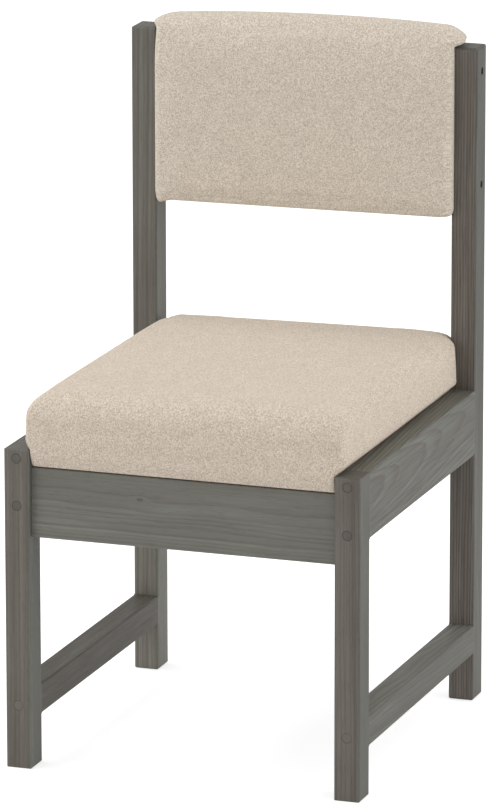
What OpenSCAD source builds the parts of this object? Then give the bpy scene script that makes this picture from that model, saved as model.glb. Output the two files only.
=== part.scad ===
// Dining side chair. Two side frames, each a front leg, a rear post, a deep side rail and a low
// stretcher, are joined by a front and a rear apron. A seat pad drops between the side rails and
// a back pad hangs between the posts. Millimetres. The front faces -Y, the viewer's right is +X,
// the floor is Z = 0 and the origin is under the middle of the chair.

/* [Overall] */
// Width over the two side frames
chair_w = 460; // [410:5:560]
// Depth over the legs and the posts
chair_d = 497; // [430:1:580]
// Height of the front legs and of the side rails' tops
leg_h = 408; // [370:1:450]
// Height of the rear posts
post_h = 848; // [800:1:900]

/* [Timber] */
// Width of legs, posts, side rails and stretchers across the chair
timber_w = 33; // [30:1:42]
// Depth of legs and posts, front to back
timber_d = 38; // [34:1:50]
// Radius of the eased edges
edge_r = 2.5; // [1:0.5:4]
// Radius of the rounded ends of the posts
post_end_r = 4; // [1:0.5:6]
// Depth of the side rails
rail_h = 84; // [76:1:110]
// Depth of the stretchers
stretcher_h = 38; // [28:1:60]
// Clear height under the stretchers
stretcher_z = 62; // [30:1:160]

/* [Aprons] */
// Depth of the front and rear aprons
apron_h = 89; // [80:1:110]
// Thickness of the aprons
apron_t = 19; // [16:1:24]
// Drop from the leg tops to the apron tops
apron_drop = 24; // [20:1:34]

/* [Frame screws and plugs] */
// Diameter of the wood plugs
plug_d = 12.7; // [10:0.1:14]
// Length of the wood plugs
plug_l = 9; // [6:1:11]
// Distance between the two plugs at each end of a side rail
plug_pitch = 60; // [44:1:64]
// Length of the frame screws
frame_screw_l = 64; // [54:2:76]
// Shank diameter of the frame and back screws
frame_screw_d = 4.5; // [3.5:0.5:6]
// Head diameter of the frame and back screws
frame_head_d = 9; // [7:0.5:9.5]

/* [Apron dowels] */
// Diameter of the dowels
dowel_d = 8; // [6:1:10]
// Length of the dowels
dowel_l = 50; // [40:2:54]
// Distance between the two dowels at each end of an apron
dowel_pitch = 54; // [44:1:58]

/* [Corner blocks] */
// Length of a corner block along the rail and along the apron
block_leg = 60; // [54:1:80]
// Height of the corner blocks
block_h = 40; // [30:1:50]
// Length of the block screws
block_screw_l = 28; // [24:1:30]
// Shank diameter of the block screws
block_screw_d = 4; // [3:0.5:5]
// Head diameter of the block screws
block_head_d = 8; // [6:0.5:9]
// Wood left under the head of a block screw
block_grip = 14; // [12:1:16]
// Shank diameter of the seat screws
seat_screw_d = 5; // [4:0.5:6]
// Head diameter of the seat screws
seat_head_d = 10; // [8:0.5:12]
// How far the seat screws bite into the seat deck
seat_screw_bite = 11; // [6:0.5:12]

/* [Seat pad] */
// Thickness of the seat deck
deck_t = 15; // [12:1:18]
// Height of the seat pad's upper edge over the leg tops
seat_rise = 68; // [50:1:84]
// Extra height at the middle of the seat pad
seat_crown = 6; // [0:1:14]
// Radius of the seat pad's upper edge at the front
seat_front_r = 36; // [24:1:40]
// Radius of the seat pad's upper edge at the sides and the rear
seat_side_r = 20; // [8:1:24]
// How far the seat pad swells over the rails on each side
seat_belly = 11; // [0:0.5:14]
// How far the seat pad swells forwards
seat_front_belly = 4; // [0:0.5:8]
// Width of the cloth turned in under the seat pad
flap_w = 45; // [38:1:60]

/* [Back pad] */
// Height of the back pad, without its crown
back_h = 238; // [190:2:260]
// Height of the back pad's upper edge over the post tops
back_rise = 20; // [16:1:36]
// Extra height at the middle of the back pad's upper edge
back_crown = 8; // [0:1:12]
// How far the back pad stands in front of the posts
back_proud = 20; // [14:1:32]
// Extra swell of the back pad's front
back_belly = 5; // [0:0.5:10]
// How far the back pad's rear lies inside the posts' rear faces
back_inset = 2; // [0.5:0.5:6]
// How far the back pad swells sideways over the post tops
back_puff = 14; // [0:1:18]
// Thickness of the back board
board_t = 18; // [15:1:19]
// Thickness of the foam behind the back board
rear_foam_t = 4.5; // [3:0.5:6]
// Thickness of the foam at the sides of the back board
side_foam_t = 4; // [3:0.5:8]
// Depth of the recess over the heads of the back screws
back_recess = 6; // [2:1:12]
// Distance from the post tops down to the upper back screws
back_screw_drop = 32; // [24:1:60]
// Distance from the back pad's lower edge up to the lower back screws
back_screw_rise = 41; // [24:1:70]
// Distance from the post tops down to the back board's top
board_drop = 12; // [4:1:16]

/* [Cloth and staples] */
// Thickness of the seat and back cloth
cloth_t = 1.5; // [1:0.1:2]
// Thickness of the dust cover
dust_t = 0.8; // [0.5:0.1:1]
// Distance from the dust cover's edge to the aprons and to the rails
dust_margin = 8; // [4:1:14]
// Distance from the edge of cloth or board to the staples
staple_inset = 8; // [6:1:12]
// Width of a staple
staple_w = 10; // [8:1:12]
// Wire thickness of a staple
staple_t = 0.8; // [0.6:0.1:1]
// How deep a staple bites into the wood
staple_bite = 6; // [4:0.5:8]
// Greatest distance between staples
staple_pitch = 62; // [40:1:90]

/* [Hidden] */

// Running clearance of screws and plugs in their bores
bore_gap = 0.1;
// Clearance round soft pieces
soft_gap = 0.3;
// Gap between each pad and the timber beside it
pad_gap = 0.7;
// Extra length that takes a cut clear of a face
overrun = 1;
// Chamfer at the ends of plugs and dowels
peg_chamfer = 0.5;
// Height of a flat screw head
head_h = 3.5;
// Length of a screw's point
point_l = 7;
// Radius of the tip of a screw's point
tip_r = 0.4;
// Share of a flat head's height that is its upright rim
rim_share = 1 / 3;
// Depth and width of the square drive in a screw's head
drive_depth = 2;
drive_w = 3;
// Gap between the corner blocks and the staples above them
block_clear = 0.4;
// Extra depth of a bore past a screw's tip or a dowel's end
bore_spare = 1;
// Facets of the round work
$fn = 48;

// Faces and centres that the pieces share
left = -1;
right = 1;
front = -1;
rear = 1;
side_x = chair_w / 2;
inner_x = side_x - timber_w;
leg_x = side_x - timber_w / 2;
end_y = chair_d / 2;
leg_y = end_y - timber_d / 2;
post_front_y = end_y - timber_d;
rail_z = leg_h - rail_h;
rail_mid_z = leg_h - rail_h / 2;
stretcher_mid_z = stretcher_z + stretcher_h / 2;
apron_top_z = leg_h - apron_drop;
apron_mid_z = apron_top_z - apron_h / 2;
apron_inner_y = leg_y - apron_t / 2;
apron_face_y = leg_y + apron_t / 2;
frame_screw_z = [rail_mid_z - plug_pitch / 2, rail_mid_z + plug_pitch / 2, stretcher_mid_z];
dowel_z = [apron_mid_z - dowel_pitch / 2, apron_mid_z + dowel_pitch / 2];
block_top_z = apron_top_z - dust_t - staple_t - block_clear;
block_screw_z = block_top_z - block_h / 2;
// Shares of a block's leg from the corner to its block screws and to its seat screw, which are
// clear of each other
block_screw_share = 0.63;
seat_screw_share = 1 / 3;
block_screw_off = block_leg * block_screw_share;
seat_screw_off = block_leg * seat_screw_share;

// Seat pad, from the outside in
seat_corner_r = 16;
seat_bottom_r = 1.5;
deck_corner_r = 6;
// The swell dies away over this length in front of the posts
notch_l = 10;
pad_x = inner_x - pad_gap;
pad_y = apron_face_y;
deck_x = pad_x - cloth_t - seat_bottom_r - soft_gap;
deck_y = pad_y - cloth_t - seat_bottom_r - soft_gap;
deck_z = apron_top_z + cloth_t;
deck_top_z = deck_z + deck_t;
seat_edge_z = leg_h + seat_rise;

// Back pad, from the outside in
back_edge_z = post_h + back_rise;
back_z = back_edge_z - back_h;
back_front_y = post_front_y - back_proud;
back_rear_y = end_y - back_inset;
board_rear_y = back_rear_y - cloth_t - rear_foam_t;
board_mid_y = board_rear_y - board_t / 2;
board_x = pad_x - cloth_t - side_foam_t;
board_z = back_z + cloth_t;
board_top_z = post_h - board_drop;
back_screw_z = [post_h - back_screw_drop, back_z + back_screw_rise];
back_corner_r = 15;
back_rear_corner_r = 5;
back_bottom_r = 11;
back_bottom_side_r = 3;
back_top_front_r = 34;
back_top_rear_r = 14;
back_top_side_r = 28;

// Colours
wood = [0.40, 0.39, 0.35];
wood_light = [0.46, 0.46, 0.41];
end_grain = [0.29, 0.27, 0.23];
raw_wood = [0.80, 0.68, 0.48];
steel = [0.62, 0.62, 0.64];
cloth = [0.80, 0.73, 0.64];
foam = [0.93, 0.88, 0.70];
dust_cloth = [0.12, 0.12, 0.13];

// Rectangle with round corners, centred
module eased_rect(a, b, r = edge_r) {
    square([a - 2 * r, b], center = true);
    square([a, b - 2 * r], center = true);
    for (i = [-1, 1], j = [-1, 1])
        translate([i * (a / 2 - r), j * (b / 2 - r)]) circle(r = r);
}

// Upright timber with all its edges eased, the ends by end_r, standing on its own Z = 0. Where
// rail and stretcher butt against it, from y = 0 to its face on the side of dir, the edges stay
// square
module upright(h, dir, end_r = edge_r) {
    intersection() {
        translate([0, 0, h / 2]) rotate([90, 0, 0])
            linear_extrude(height = timber_d + 2 * overrun, center = true)
                eased_rect(timber_w, h, end_r);
        union() {
            intersection() {
                linear_extrude(height = h) eased_rect(timber_w, timber_d);
                translate([0, 0, h / 2]) rotate([90, 0, 90])
                    linear_extrude(height = timber_w + 2 * overrun, center = true)
                        eased_rect(timber_d, h, end_r);
            }
            joint_seat(dir, rail_z, leg_h);
            joint_seat(dir, stretcher_z, stretcher_z + stretcher_h);
        }
    }
}

// Square-edged stretch of an upright between two heights
module joint_seat(dir, z_low, z_high) {
    translate([-timber_w / 2, min(0, dir * timber_d / 2), z_low])
        cube([timber_w, timber_d / 2, z_high - z_low]);
}

// Board along Y with eased long edges and square ends
module side_board(h, z_mid) {
    translate([0, 0, z_mid]) rotate([90, 0, 0])
        linear_extrude(height = chair_d - 2 * timber_d, center = true) eased_rect(timber_w, h);
}

// Screw with a flat head, pointing along +Z, its head's top at Z = 0
module wood_screw(l, d, head_d) {
    difference() {
        rotate_extrude() polygon([
            [0, 0], [head_d / 2, 0], [head_d / 2, head_h * rim_share], [d / 2, head_h],
            [d / 2, l - point_l], [tip_r, l], [0, l]
        ]);
        translate([-drive_w / 2, -drive_w / 2, -overrun]) cube([drive_w, drive_w, drive_depth + overrun]);
    }
}

// Bore for such a screw, with room for its head and an open recess over it
module screw_bore(l, d, head_d, recess) {
    translate([0, 0, -recess - overrun])
        cylinder(r = head_d / 2 + bore_gap, h = recess + overrun + head_h);
    cylinder(r = d / 2 + bore_gap, h = l + bore_spare);
}

// Round peg along Z with chamfered ends, centred
module peg(d, l) {
    rotate_extrude() polygon([
        [0, -l / 2], [d / 2 - peg_chamfer, -l / 2], [d / 2, peg_chamfer - l / 2],
        [d / 2, l / 2 - peg_chamfer], [d / 2 - peg_chamfer, l / 2], [0, l / 2]
    ]);
}

// Places its children at every frame screw: +Z runs from the timber's face into the joint
module at_frame_screws(sides = [left, right], ends = [front, rear]) {
    for (s = sides, e = ends, z = frame_screw_z)
        translate([s * leg_x, e * end_y, z]) rotate([e * 90, 0, 0]) children();
}

// All that is bored for the frame screws and their plugs
module frame_bores(sides, ends) {
    at_frame_screws(sides, ends) {
        translate([0, 0, -overrun]) cylinder(r = plug_d / 2 + bore_gap / 2, h = plug_l + overrun);
        translate([0, 0, plug_l]) screw_bore(frame_screw_l, frame_screw_d, frame_head_d, 0);
    }
}

// Places its children at every dowel, along X
module at_dowels(sides = [left, right], ends = [front, rear]) {
    for (s = sides, e = ends, z = dowel_z)
        translate([s * inner_x, e * leg_y, z]) rotate([0, 90, 0]) children();
}

module dowel_bores(sides = [left, right], ends = [front, rear]) {
    at_dowels(sides, ends)
        cylinder(r = dowel_d / 2 + bore_gap / 2, h = dowel_l + 2 * bore_spare, center = true);
}

// Places its children at the back screws of one side: +Z runs inwards from the post's face
module at_back_screws(s) {
    for (z = back_screw_z)
        translate([s * side_x, board_mid_y, z]) rotate([0, -s * 90, 0]) children();
}

module back_screw_bores(s) {
    at_back_screws(s) translate([0, 0, back_recess])
        screw_bore(frame_screw_l, frame_screw_d, frame_head_d, back_recess);
}

// Places its children in the corner between a rail and an apron, +X and +Y running inwards
// from the corner
module at_corner(s, e) {
    translate([s * inner_x, e * apron_inner_y, 0]) scale([-s, -e, 1]) children();
}

// Places its children at a corner's two block screws, +Z running from the head into the board
module at_block_screws(s, e) {
    at_corner(s, e) {
        translate([block_screw_off, block_grip, block_screw_z]) rotate([90, 0, 0]) children();
        translate([block_grip, block_screw_off, block_screw_z]) rotate([0, -90, 0]) children();
    }
}

module block_screw_bores(s, e) {
    at_block_screws(s, e) screw_bore(block_screw_l, block_screw_d, block_head_d, block_leg);
}

// Length of a seat screw from the face of its block up into the deck
seat_screw_l = deck_z - block_top_z + block_h + seat_screw_bite;

module at_seat_screw(s, e) {
    at_corner(s, e) translate([seat_screw_off, seat_screw_off, block_top_z - block_h]) children();
}

module seat_screw_bores() {
    for (s = [left, right], e = [front, rear])
        at_seat_screw(s, e) cylinder(r = seat_screw_d / 2 + bore_gap, h = seat_screw_l + bore_spare);
}

// Places of the staples along a straight edge of half-length reach, evenly spaced
function staple_places(reach) = let (n = ceil(2 * reach / staple_pitch)) [
    for (i = [0 : n]) -reach + 2 * reach * i / n
];

dust_x = inner_x - dust_margin;
dust_y = apron_inner_y - dust_margin;
staple_x = dust_x - staple_inset;
staple_y = dust_y - staple_inset;

// Places its children at every staple under the seat pad, the staple's width along X
module at_seat_staples() {
    for (x = staple_places(staple_x - block_leg / 2), e = [front, rear])
        translate([x, e * staple_y, 0]) children();
    for (y = staple_places(staple_y - block_leg / 2), s = [left, right])
        translate([s * staple_x, y, 0]) rotate([0, 0, 90]) children();
}

module at_back_staples() {
    for (x = staple_places(board_x - staple_inset)) translate([x, board_mid_y, back_z]) children();
}

// Staple with its crown's underside at Z = 0 and its legs up
module staple(rise) {
    translate([-staple_w / 2, -staple_t / 2, 0]) cube([staple_w, staple_t, staple_t]);
    for (s = [left, right])
        translate([s * (staple_w - staple_t) / 2 - staple_t / 2, -staple_t / 2, 0])
            cube([staple_t, staple_t, rise]);
}

// Slot that a staple's legs have cut
module staple_slot(rise) {
    translate([-staple_w / 2 - bore_gap, -staple_t / 2 - bore_gap, -overrun])
        cube([staple_w + 2 * bore_gap, staple_t + 2 * bore_gap, rise + overrun + bore_gap]);
}

// Points of an arc in plan, round a corner's centre
corner_steps = 3;
function corner(cx, cy, r, start) = [
    for (i = [0 : corner_steps])
        let (q = start + 90 * i / corner_steps) [cx + r * cos(q), cy + r * sin(q)]
];

// Shares of the run from corner to corner at which a ring has points
front_shares = [0.2, 0.5, 0.8];
side_shares = [0.06, 0.25, 0.5, 0.75, 0.94];
run_shares = [0, 0.33, 0.67];
// Shares of the notch's length in front of the posts at which a ring has points
notch_shares = [0.5, 0.15, 0];
// Shares of the height from the rail tops to the rounded upper edge at which the seat has rings
swell_shares = [0.12, 0.5, 1];
// Share of the front swell that the seat pad has at the rail tops, and how fast the swells grow
low_swell_share = 0.5;
swell_power = 0.35;
// Shares of the seat's flat top, and of the back pad's upright part, at which they have rings
top_shares = [0.7, 0.35];
back_height_shares = [0.35, 0.7];
// Share of the back pad's front swell that is there at its bottom and at the post tops
back_end_share = 0.6;
// Share by which the back pad's front corners are sharper at its bottom edge
sharp_share = 1 / 3;
// Share of the puff over the posts that the pad's rear corners take
rear_puff_share = 1 / 3;
// Turns of the rings round the rounded edges
seat_edge_turns = [20, 40, 55, 68, 79, 90];
back_bottom_turns = [0, 30, 60, 90];
back_top_turns = [10, 20, 32, 46, 62, 78];

// How much of the seat pad's side swell is left at y: none between the posts
function swell_share(y) = y > post_front_y ? 0 : y > post_front_y - notch_l
    ? sin(90 * (post_front_y - y) / notch_l) : 1;

// Depth places of the points along the seat pad's sides, close together by the posts
function seat_side_y(y_front) = concat(
    [for (q = run_shares) y_front + (post_front_y - notch_l - y_front) * q],
    [for (q = notch_shares) post_front_y - notch_l * q]
);

// One ring of the seat pad: half-width without the swell, swell, front, rear, corner radius and
// the height at the corners, with its share of the crown
function seat_ring(a, swell, y_front, y_rear, bow, r, z, crown) = let (
    ys = seat_side_y(y_front + r),
    side = [for (y = ys) [a + swell * swell_share(y), y]],
    left_side = [for (i = [len(side) - 1 : -1 : 0]) [-side[i][0], side[i][1]]],
    af = a + swell - r,
    flat = concat(
        corner(-af, y_front + r, r, 180),
        [for (q = front_shares) [af * (2 * q - 1), y_front - 4 * bow * q * (1 - q)]],
        corner(af, y_front + r, r, 270),
        [for (i = [1 : len(side) - 1]) side[i]],
        corner(a - r, y_rear - r, r, 0),
        [for (q = front_shares) [(a - r) * (1 - 2 * q), y_rear]],
        corner(r - a, y_rear - r, r, 90),
        [for (i = [0 : len(side) - 2]) left_side[i]]
    )
) [for (p = flat) [p[0], p[1], z + crown * seat_crown * dome(p[0] / pad_x, p[1] / pad_y)]];

// Height of the crown over a pad, 1 in the middle and 0 at the corners
function dome(u, v) = 1 - (min(1, abs(u)) ^ 2 + min(1, abs(v)) ^ 2) / 2;

// How far an edge of radius r has turned in at a depth below its top
function turned_in(r, below) = r - sqrt(r ^ 2 - max(0, r - below) ^ 2);

// A ring of the seat pad's top, drawn together towards the middle by a share
function drawn_in(ring, share, top) = [
    for (p = ring) let (x = p[0] * share, y = p[1] * share)
        [x, y, top + seat_crown * dome(x / pad_x, y / pad_y)]
];

// The seat pad's rings, drawn in by e all round. The sides are straight between the rails,
// swell over the rail tops and turn in over the upper edge
function seat_rings(e) = let (
    a = pad_x - e,
    f = -pad_y + e,
    b = pad_y - e,
    top = seat_edge_z - e,
    front_r = seat_front_r - e,
    side_r = seat_side_r - e,
    low_r = max(seat_bottom_r, 2 * e),
    cr = seat_corner_r - e,
    belly_top = seat_edge_z - seat_front_r,
    edge_rings = [for (q = seat_edge_turns)
        let (below = front_r * (1 - sin(q)), in = turned_in(side_r, below))
            seat_ring(a - in, seat_belly, f + front_r * (1 - cos(q)), b - in,
                seat_front_belly * cos(q), cr, top - below, sin(q))]
) concat(
    [seat_ring(a - seat_bottom_r, 0, f + seat_bottom_r, b - seat_bottom_r, 0, low_r, apron_top_z + e, 0)],
    [seat_ring(a, 0, f, b, 0, low_r, apron_top_z + e + seat_bottom_r, 0)],
    [seat_ring(a, 0, f, b, seat_front_belly * low_swell_share, low_r, leg_h + soft_gap, 0)],
    [for (q = swell_shares) let (w = sin(90 * q) ^ swell_power)
        seat_ring(a, seat_belly * w, f, b,
            seat_front_belly * (low_swell_share + (1 - low_swell_share) * w),
            low_r + (cr - low_r) * w, leg_h + soft_gap + (belly_top - leg_h) * q, 0)],
    edge_rings,
    [for (q = top_shares) drawn_in(edge_rings[len(edge_rings) - 1], q, top)]
);

// Sideways puff of the back pad over the posts, at a turn round its upper edge
function puff(turn) = back_puff * sin(min(90, 2 * turn));

// One ring of the back pad: half-width, front, rear, front swell, front and rear corner radius,
// height and its share of the crown
function back_ring(a, y_front, y_rear, bow, r, rr, z, fall) = let (
    rf = min(r, y_rear - y_front - rr),
    flat = concat(
        corner(rf - a, y_front + rf, rf, 180),
        [for (q = side_shares) let (t = 2 * q - 1) [(a - rf) * t, y_front - bow * (1 - t * t)]],
        corner(a - rf, y_front + rf, rf, 270),
        corner(a - rr, y_rear - rr, rr, 0),
        [for (q = side_shares) [(a - rr) * (1 - 2 * q), y_rear]],
        corner(rr - a, y_rear - rr, rr, 90)
    )
) [for (p = flat) [p[0], p[1], z + back_crown * fall * (1 - min(1, abs(p[0]) / pad_x) ^ 2)]];

// The back pad's rings, drawn in by e all round
function back_rings(e) = let (
    a = pad_x - e,
    f = back_front_y + e,
    b = back_rear_y - e,
    rf = back_corner_r - e,
    rr = back_rear_corner_r - e,
    end_belly = back_belly * back_end_share
) concat(
    [for (q = back_bottom_turns) let (w = 1 - sin(q))
        back_ring(a - back_bottom_side_r * w, f + back_bottom_r * w, b - back_bottom_side_r * w,
            end_belly * (1 - w), rf * (1 - sharp_share * w), rr,
            back_z + e + (back_bottom_r - e) * (1 - cos(q)), 0)],
    [for (q = back_height_shares)
        back_ring(a, f, b, end_belly + 4 * (back_belly - end_belly) * q * (1 - q), rf, rr,
            back_z + back_bottom_r + (back_h - back_rise - back_bottom_r) * q, 0)],
    [back_ring(a, f, b, end_belly, rf, rr, post_h, 0)],
    [for (q = back_top_turns) let (w = 1 - cos(q))
        back_ring(a + puff(q) - back_top_side_r * w, f + back_top_front_r * w,
            b - back_top_rear_r * w, end_belly * (1 - w),
            rf + puff(q), rr + puff(q) * rear_puff_share,
            post_h + (back_rise - e) * sin(q), sin(q) ^ 2)]
);

// Triangles of a closed form whose rings have n points each, running round from above as
// counter-clockwise loops, with a fan at each end
function form_faces(k, n) = concat(
    [for (i = [0 : n - 1]) [k * n, i, (i + 1) % n]],
    [for (j = [0 : k - 2], i = [0 : n - 1]) let (m = (i + 1) % n)
        [j * n + i, (j + 1) * n + i, (j + 1) * n + m]],
    [for (j = [0 : k - 2], i = [0 : n - 1]) let (m = (i + 1) % n)
        [j * n + i, (j + 1) * n + m, j * n + m]],
    [for (i = [0 : n - 1]) [k * n + 1, (k - 1) * n + (i + 1) % n, (k - 1) * n + i]]
);

module form(rings, low, high) {
    polyhedron(
        points = concat([for (ring = rings, p = ring) p], [low, high]),
        faces = form_faces(len(rings), len(rings[0]))
    );
}

module seat_form(e) {
    form(seat_rings(e), [0, 0, apron_top_z + e], [0, 0, seat_edge_z - e + seat_crown]);
}

module back_form(e) {
    mid_y = (back_front_y + back_top_front_r + back_rear_y - back_top_rear_r) / 2;
    form(back_rings(e), [0, board_mid_y, back_z + e], [0, mid_y, back_edge_z - e + back_crown]);
}

module front_leg(s) {
    color(wood) difference() {
        translate([s * leg_x, -leg_y, 0]) upright(leg_h, rear);
        frame_bores([s], [front]);
        dowel_bores([s], [front]);
    }
}

module rear_post(s) {
    color(wood) difference() {
        translate([s * leg_x, leg_y, 0]) upright(post_h, front, post_end_r);
        frame_bores([s], [rear]);
        dowel_bores([s], [rear]);
        back_screw_bores(s);
    }
}

module side_rail(s) {
    color(wood_light) difference() {
        translate([s * leg_x, 0, 0]) side_board(rail_h, rail_mid_z);
        frame_bores([s], [front, rear]);
        for (e = [front, rear]) block_screw_bores(s, e);
    }
}

module stretcher(s) {
    color(wood_light) difference() {
        translate([s * leg_x, 0, 0]) side_board(stretcher_h, stretcher_mid_z);
        frame_bores([s], [front, rear]);
    }
}

module apron(e) {
    color(wood) difference() {
        translate([0, e * leg_y, apron_mid_z]) rotate([90, 0, 90])
            linear_extrude(height = 2 * inner_x, center = true) eased_rect(apron_t, apron_h);
        dowel_bores([left, right], [e]);
        for (s = [left, right]) block_screw_bores(s, e);
    }
}

module corner_block(s, e) {
    color(raw_wood) difference() {
        at_corner(s, e) translate([0, 0, block_top_z - block_h])
            linear_extrude(height = block_h) polygon([[0, 0], [block_leg, 0], [0, block_leg]]);
        block_screw_bores(s, e);
        at_seat_screw(s, e) translate([0, 0, -overrun])
            cylinder(r = seat_screw_d / 2 + bore_gap, h = block_h + 2 * overrun);
    }
}

module frame_screws() {
    color(steel) at_frame_screws() translate([0, 0, plug_l])
        wood_screw(frame_screw_l, frame_screw_d, frame_head_d);
}

module plugs() {
    color(end_grain) at_frame_screws() translate([0, 0, plug_l / 2]) peg(plug_d, plug_l);
}

module apron_dowels() {
    color(raw_wood) at_dowels() peg(dowel_d, dowel_l);
}

module block_screws() {
    color(steel) for (s = [left, right], e = [front, rear])
        at_block_screws(s, e) wood_screw(block_screw_l, block_screw_d, block_head_d);
}

module seat_screws() {
    color(steel) for (s = [left, right], e = [front, rear]) at_seat_screw(s, e) {
        translate([0, 0, -head_h]) cylinder(r = seat_head_d / 2, h = head_h);
        cylinder(r = seat_screw_d / 2, h = seat_screw_l);
    }
}

module back_screws() {
    color(steel) for (s = [left, right]) at_back_screws(s) translate([0, 0, back_recess])
        wood_screw(frame_screw_l, frame_screw_d, frame_head_d);
}

module seat_deck() {
    color(raw_wood) difference() {
        translate([0, 0, deck_z]) linear_extrude(height = deck_t)
            eased_rect(2 * deck_x, 2 * deck_y, deck_corner_r);
        seat_screw_bores();
        at_seat_staples() translate([0, 0, deck_z]) staple_slot(staple_bite);
    }
}

module seat_foam() {
    color(foam) difference() {
        seat_form(cloth_t + soft_gap);
        translate([-chair_w, -chair_d, apron_top_z - overrun])
            cube([2 * chair_w, 2 * chair_d, deck_top_z - apron_top_z + overrun]);
    }
}

module seat_cover() {
    color(cloth) difference() {
        seat_form(0);
        seat_form(cloth_t);
        translate([flap_w - pad_x, flap_w - pad_y, apron_top_z - overrun])
            cube([2 * (pad_x - flap_w), 2 * (pad_y - flap_w), cloth_t + 2 * overrun]);
        seat_screw_bores();
        at_seat_staples() translate([0, 0, apron_top_z]) staple_slot(cloth_t + overrun);
    }
}

module seat_dust_cover() {
    color(dust_cloth) difference() {
        translate([-dust_x, -dust_y, apron_top_z - dust_t]) cube([2 * dust_x, 2 * dust_y, dust_t]);
        seat_screw_bores();
        at_seat_staples() translate([0, 0, apron_top_z - dust_t]) staple_slot(dust_t + overrun);
    }
}

module seat_staples() {
    color(steel) at_seat_staples() translate([0, 0, apron_top_z - dust_t - staple_t])
        staple(staple_t + dust_t + cloth_t + staple_bite);
}

module back_board() {
    color(raw_wood) difference() {
        translate([-board_x, board_mid_y - board_t / 2, board_z])
            cube([2 * board_x, board_t, board_top_z - board_z]);
        for (s = [left, right]) back_screw_bores(s);
        at_back_staples() translate([0, 0, cloth_t]) staple_slot(staple_bite);
    }
}

module back_foam() {
    color(foam) difference() {
        back_form(cloth_t + soft_gap);
        translate([-board_x, board_mid_y - board_t / 2, board_z - overrun])
            cube([2 * board_x, board_t, board_top_z - board_z + overrun]);
        for (s = [left, right]) back_screw_bores(s);
    }
}

module back_cover() {
    color(cloth) difference() {
        back_form(0);
        back_form(cloth_t);
        for (s = [left, right]) back_screw_bores(s);
        at_back_staples() staple_slot(cloth_t + overrun);
    }
}

module back_staples() {
    color(steel) at_back_staples() translate([0, 0, -staple_t])
        staple(staple_t + cloth_t + staple_bite);
}

front_leg(left);  // left_front_leg
front_leg(right);  // right_front_leg
rear_post(left);  // left_rear_post
rear_post(right);  // right_rear_post
side_rail(left);  // left_side_rail
side_rail(right);  // right_side_rail
stretcher(left);  // left_stretcher
stretcher(right);  // right_stretcher
apron(front);  // front_apron
apron(rear);  // rear_apron
corner_block(left, front);  // front_left_corner_block
corner_block(right, front);  // front_right_corner_block
corner_block(left, rear);  // rear_left_corner_block
corner_block(right, rear);  // rear_right_corner_block
frame_screws();
plugs();
apron_dowels();
block_screws();
seat_screws();
back_screws();
seat_deck();
seat_foam();
seat_cover();
seat_dust_cover();
seat_staples();
back_board();
back_foam();
back_cover();
back_staples();
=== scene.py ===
"""Looks of a dining side chair: a grey-stained pine frame, a deep seat pad and a plump back pad.

The chair's front faces -Y, +X is the viewer's right, +Z is up. Sizes are in metres.
"""

import logging
import math
from dataclasses import dataclass
from enum import Enum
from functools import partialmethod
from types import SimpleNamespace
from typing import Callable, Iterable, Optional, Union

import bpy
import numpy as np
from mathutils import Matrix, Vector


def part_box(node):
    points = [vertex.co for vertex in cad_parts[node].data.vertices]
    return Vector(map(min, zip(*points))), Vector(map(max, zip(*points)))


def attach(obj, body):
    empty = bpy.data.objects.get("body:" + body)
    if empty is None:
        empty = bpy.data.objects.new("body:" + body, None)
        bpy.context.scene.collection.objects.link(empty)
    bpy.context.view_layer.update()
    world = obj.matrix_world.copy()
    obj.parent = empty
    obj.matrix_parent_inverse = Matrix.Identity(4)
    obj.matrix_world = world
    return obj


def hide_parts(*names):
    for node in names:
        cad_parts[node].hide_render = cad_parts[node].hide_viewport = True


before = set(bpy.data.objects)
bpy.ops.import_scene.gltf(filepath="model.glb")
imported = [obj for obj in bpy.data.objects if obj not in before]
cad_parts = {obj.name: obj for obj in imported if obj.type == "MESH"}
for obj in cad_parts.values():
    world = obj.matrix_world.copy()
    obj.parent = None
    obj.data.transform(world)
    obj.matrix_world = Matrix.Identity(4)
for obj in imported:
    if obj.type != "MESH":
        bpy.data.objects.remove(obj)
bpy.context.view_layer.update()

log = logging.getLogger("chair")

MM = 0.001
Pair = tuple[float, float]
Triple = tuple[float, float, float]
Socket = bpy.types.NodeSocket
Value = Union["Wire", float, tuple[float, ...]]


def shade(red: int, green: int, blue: int) -> Triple:
    """A colour read off as display numbers.

    Args:
        red: Red, from 0 to 255.
        green: Green, from 0 to 255.
        blue: Blue, from 0 to 255.

    Returns:
        The same colour as linear light. The display curve between the two is a straight line near
        black and a power of 2.4 above it.
    """
    parts = []
    for level in (red, green, blue):
        share = level / 255
        parts.append(share / 12.92 if share <= 0.04045 else ((share + 0.055) / 1.055) ** 2.4)
    return (parts[0], parts[1], parts[2])


def has_parts(value: Value) -> bool:
    """Whether a value is a vector or a colour, not a plain number."""
    if isinstance(value, Wire):
        return value.socket.type != "VALUE"
    return not isinstance(value, (int, float))


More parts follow.
